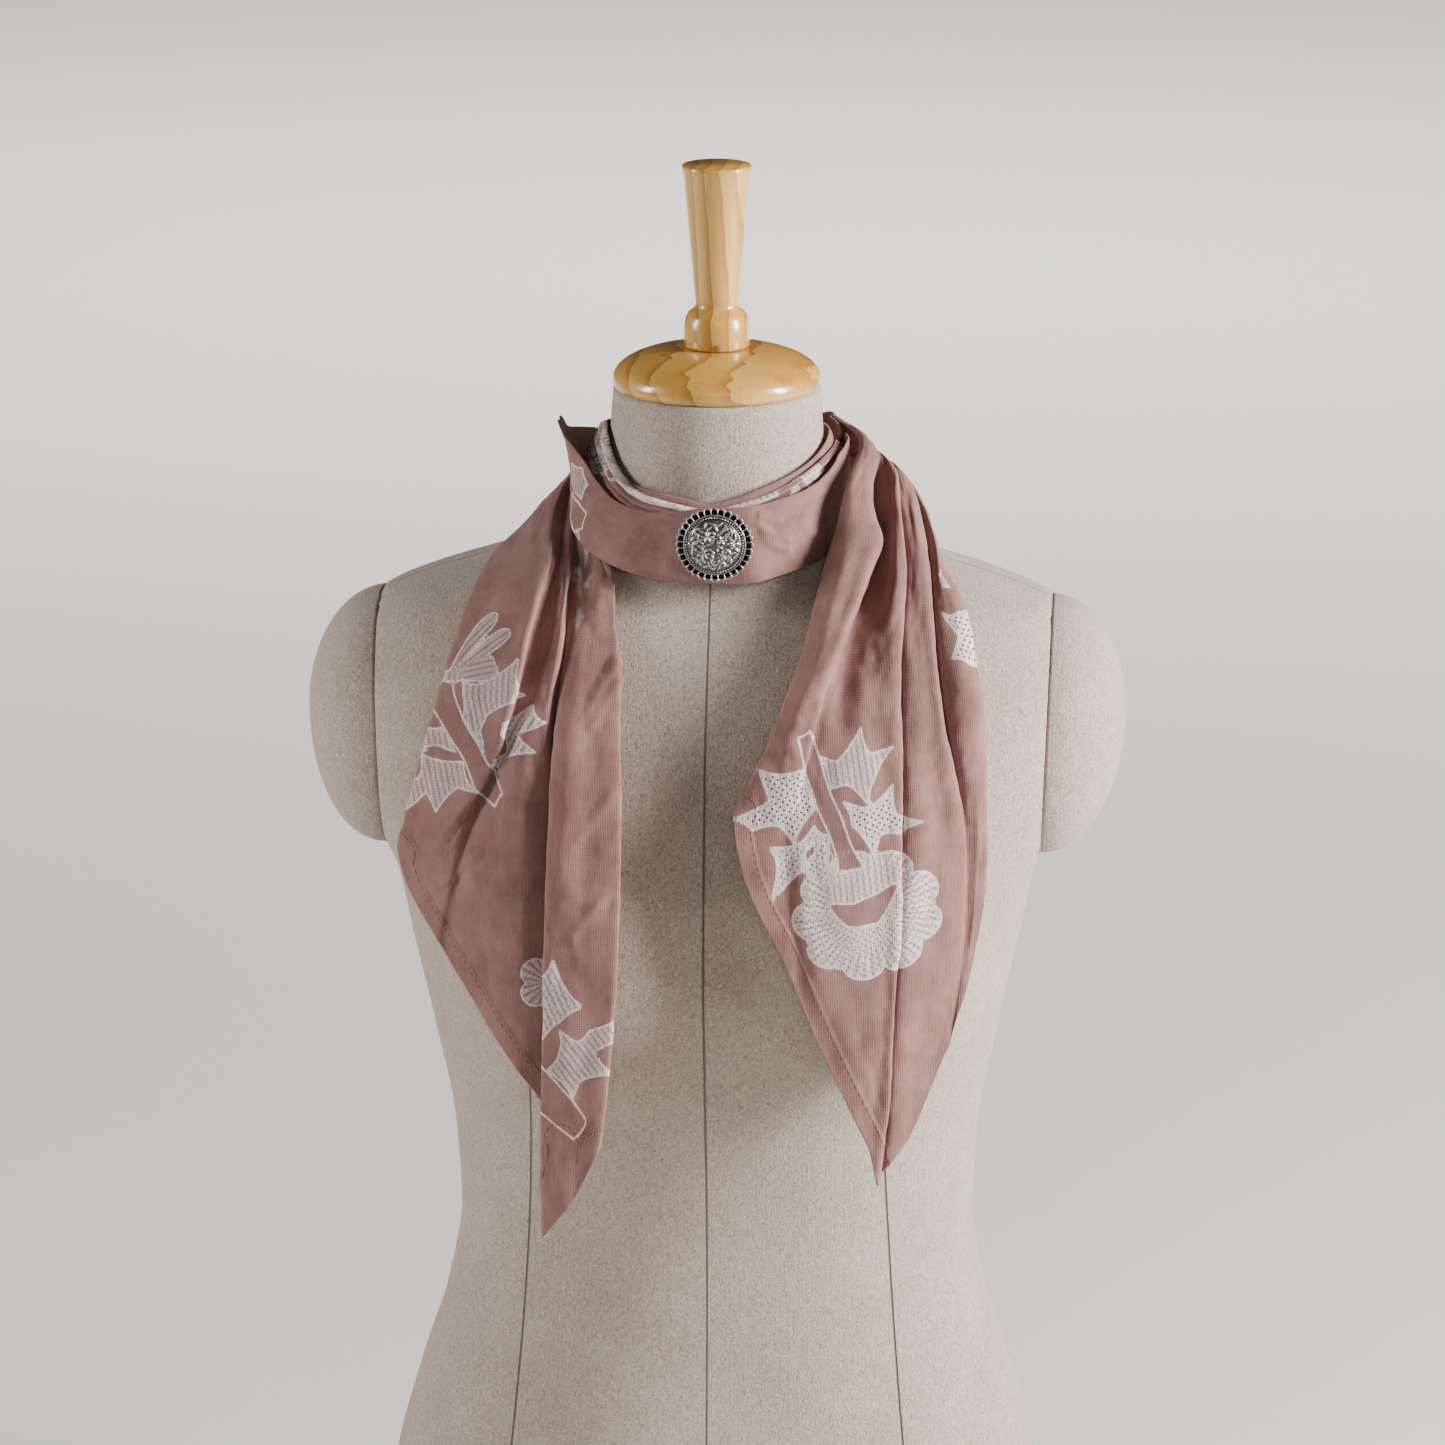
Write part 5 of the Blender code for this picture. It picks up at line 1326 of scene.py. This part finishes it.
def domeRelief(x, y):
    height = 0.0
    for lx, ly, turn, length, width in leafRows:
        a = math.radians(turn)
        along = (x - lx) * math.cos(a) + (y - ly) * math.sin(a)
        off = -(x - lx) * math.sin(a) + (y - ly) * math.cos(a)
        t = along / (length * 0.5)
        if abs(t) < 1.0:
            edge = width * 0.5 * (1.0 - t * t)
            if abs(off) < edge:
                body = math.sqrt(1.0 - (off / edge) ** 2)
                vein = 0.7 + 0.3 * min(1.0, abs(off) * 3.5)
                height = max(height, 0.85 * body * vein)
    for fx, fy, size, petals in flowerRows:
        dx, dy = x - fx, y - fy
        reach = math.hypot(dx, dy)
        if reach < size:
            petal = abs(math.cos(petals * 0.5 * math.atan2(dy, dx)))
            rim = size * (0.62 + 0.38 * petal)
            if reach < rim + 0.35:
                height = 0.0
            if reach < rim:
                body = math.sqrt(max(0.0, 1.0 - (reach / rim) ** 2)) * (0.1 + 0.9 * petal)
                body *= min(1.0, 0.3 + reach / 1.4)
                centre = 0.95 * math.exp(-(reach / 0.6) ** 2)
                height = max(height, body, centre)
    for cx, cy, size, start, end in scrollRows:
        off = (math.hypot(x - cx, y - cy) - size) / 0.42
        if abs(off) < 1.0 and (math.degrees(math.atan2(y - cy, x - cx)) - start) % 360.0 < end - start:
            height = max(height, 0.8 * (1.0 - off * off))
    return height


def makeDome():
    radius = brooch["domeRadius"]
    under, edge, rise = brooch["domeHeights"]
    profile = [(0.0, under), (radius, under)]
    for i in range(1, brooch["domeRings"] + 1):
        share = math.cos(0.5 * math.pi * i / brooch["domeRings"])
        profile.append((radius * share, edge + rise * math.sqrt(1.0 - 0.98 * share * share)))
    bm = bmesh.new()
    spinProfile(bm, profile, brooch["domeSteps"], 1e-4)
    for v in bm.verts:
        if v.co.z > under + 0.1:
            fade = min(1.0, (1.0 - math.hypot(v.co.x, v.co.y) / radius) * 9.0)
            v.co.z += domeRelief(v.co.x, v.co.y) * fade

    # silver tone: middling ground, black line at the foot of each shape, bright crown
    def relief(co):
        height = domeRelief(co.x, co.y)
        return 0.4 if height <= 0.0 else 0.02 + 1.0 * height ** 0.75
    broochPiece("broochDome", bm, relief, "brooch_dome")


def addWire(bm, near, far, length):
    return bmesh.ops.create_cone(bm, cap_ends=True, segments=16, radius1=near, radius2=far, depth=length)["verts"]


def makePin():
    bm = bmesh.new()
    wire, length = brooch["pinWire"]
    stem = addWire(bm, wire, wire, length)
    bmesh.ops.rotate(bm, cent=(0, 0, 0), matrix=Matrix.Rotation(math.radians(90.0), 3, "Y"), verts=stem)
    bmesh.ops.translate(bm, vec=brooch["pinPlace"], verts=stem)
    for place in brooch["postPlaces"]:
        bmesh.ops.translate(bm, vec=place, verts=addWire(bm, *brooch["post"]))
    broochPiece("broochPin", bm, lambda co: 0.4, "brooch_pin")


makeRim()
makeDome()
makePin()
print("brooch made")


# camera set by comparing renders with the photo: target and distance in metres, focus and picture in pixels
stage = {
    "floor": "d9d6d1",
    "target": (0.0030, 0.0, 0.5221),
    "distance": 3.2,
    "azimuth": 3.5,
    "depression": 15.3,
    "focus": 5981.0,
    "picture": 1445.0,
    "sensor": 36.0,
    "clip": (0.1, 60.0),
    # name, place, aim, watts, width, height
    "lights": (
        ("rightSoftbox", (2.45, -0.5, 1.3), (0.0, 0.0, 0.5), 220.0, 0.5, 1.2),
        ("leftSoftbox", (-2.45, -0.45, 1.3), (0.0, 0.0, 0.5), 58.0, 0.5, 1.2),
        ("frontSoftbox", (0.6, -3.6, 2.4), (0.0, 0.0, 0.5), 12.0, 1.6, 1.2),
        ("backdropSoftbox", (0.0, 3.6, 3.2), (0.0, 6.0, 0.0), 380.0, 5.0, 2.0)),
    "skyColour": (1.0, 0.98, 0.96, 1.0),
    "skyStrength": 0.045,
}


def makeFloor():
    bm = bmesh.new()
    bmesh.ops.create_grid(bm, x_segments=2, y_segments=2, size=14.0)
    obj = linkPiece("studioFloor", bm)
    obj.data.materials.append(newMaterial("paleFloor", {
        "Base Color": linearColour(stage["floor"]), "Roughness": 0.9})[0])


def softLight(name, place, aim, power, width, height):
    data = bpy.data.lights.new(name, "AREA")
    data.shape = "RECTANGLE"
    data.size = width
    data.size_y = height
    data.energy = power
    obj = bpy.data.objects.new(name, data)
    bpy.context.scene.collection.objects.link(obj)
    obj.location = place
    obj.rotation_euler = (Vector(aim) - Vector(place)).to_track_quat("-Z", "Y").to_euler()


makeFloor()
for lightRow in stage["lights"]:
    softLight(*lightRow)
world = bpy.data.worlds.new("studio")
bpy.context.scene.world = world
world.use_nodes = True
sky = world.node_tree.nodes["Background"]
sky.inputs["Color"].default_value = stage["skyColour"]
sky.inputs["Strength"].default_value = stage["skyStrength"]

az, dep = math.radians(stage["azimuth"]), math.radians(stage["depression"])
back = Vector((math.sin(az) * math.cos(dep), -math.cos(az) * math.cos(dep), math.sin(dep)))
camData = bpy.data.cameras.new("photoView")
camData.sensor_width = stage["sensor"]
camData.lens = stage["sensor"] * stage["focus"] / stage["picture"]
camData.clip_start, camData.clip_end = stage["clip"]
camera = bpy.data.objects.new("photoView", camData)
bpy.context.scene.collection.objects.link(camera)
camera.location = Vector(stage["target"]) + back * stage["distance"]
camera.rotation_euler = (-back).to_track_quat("-Z", "Y").to_euler()
bpy.context.scene.camera = camera
print("stage made")
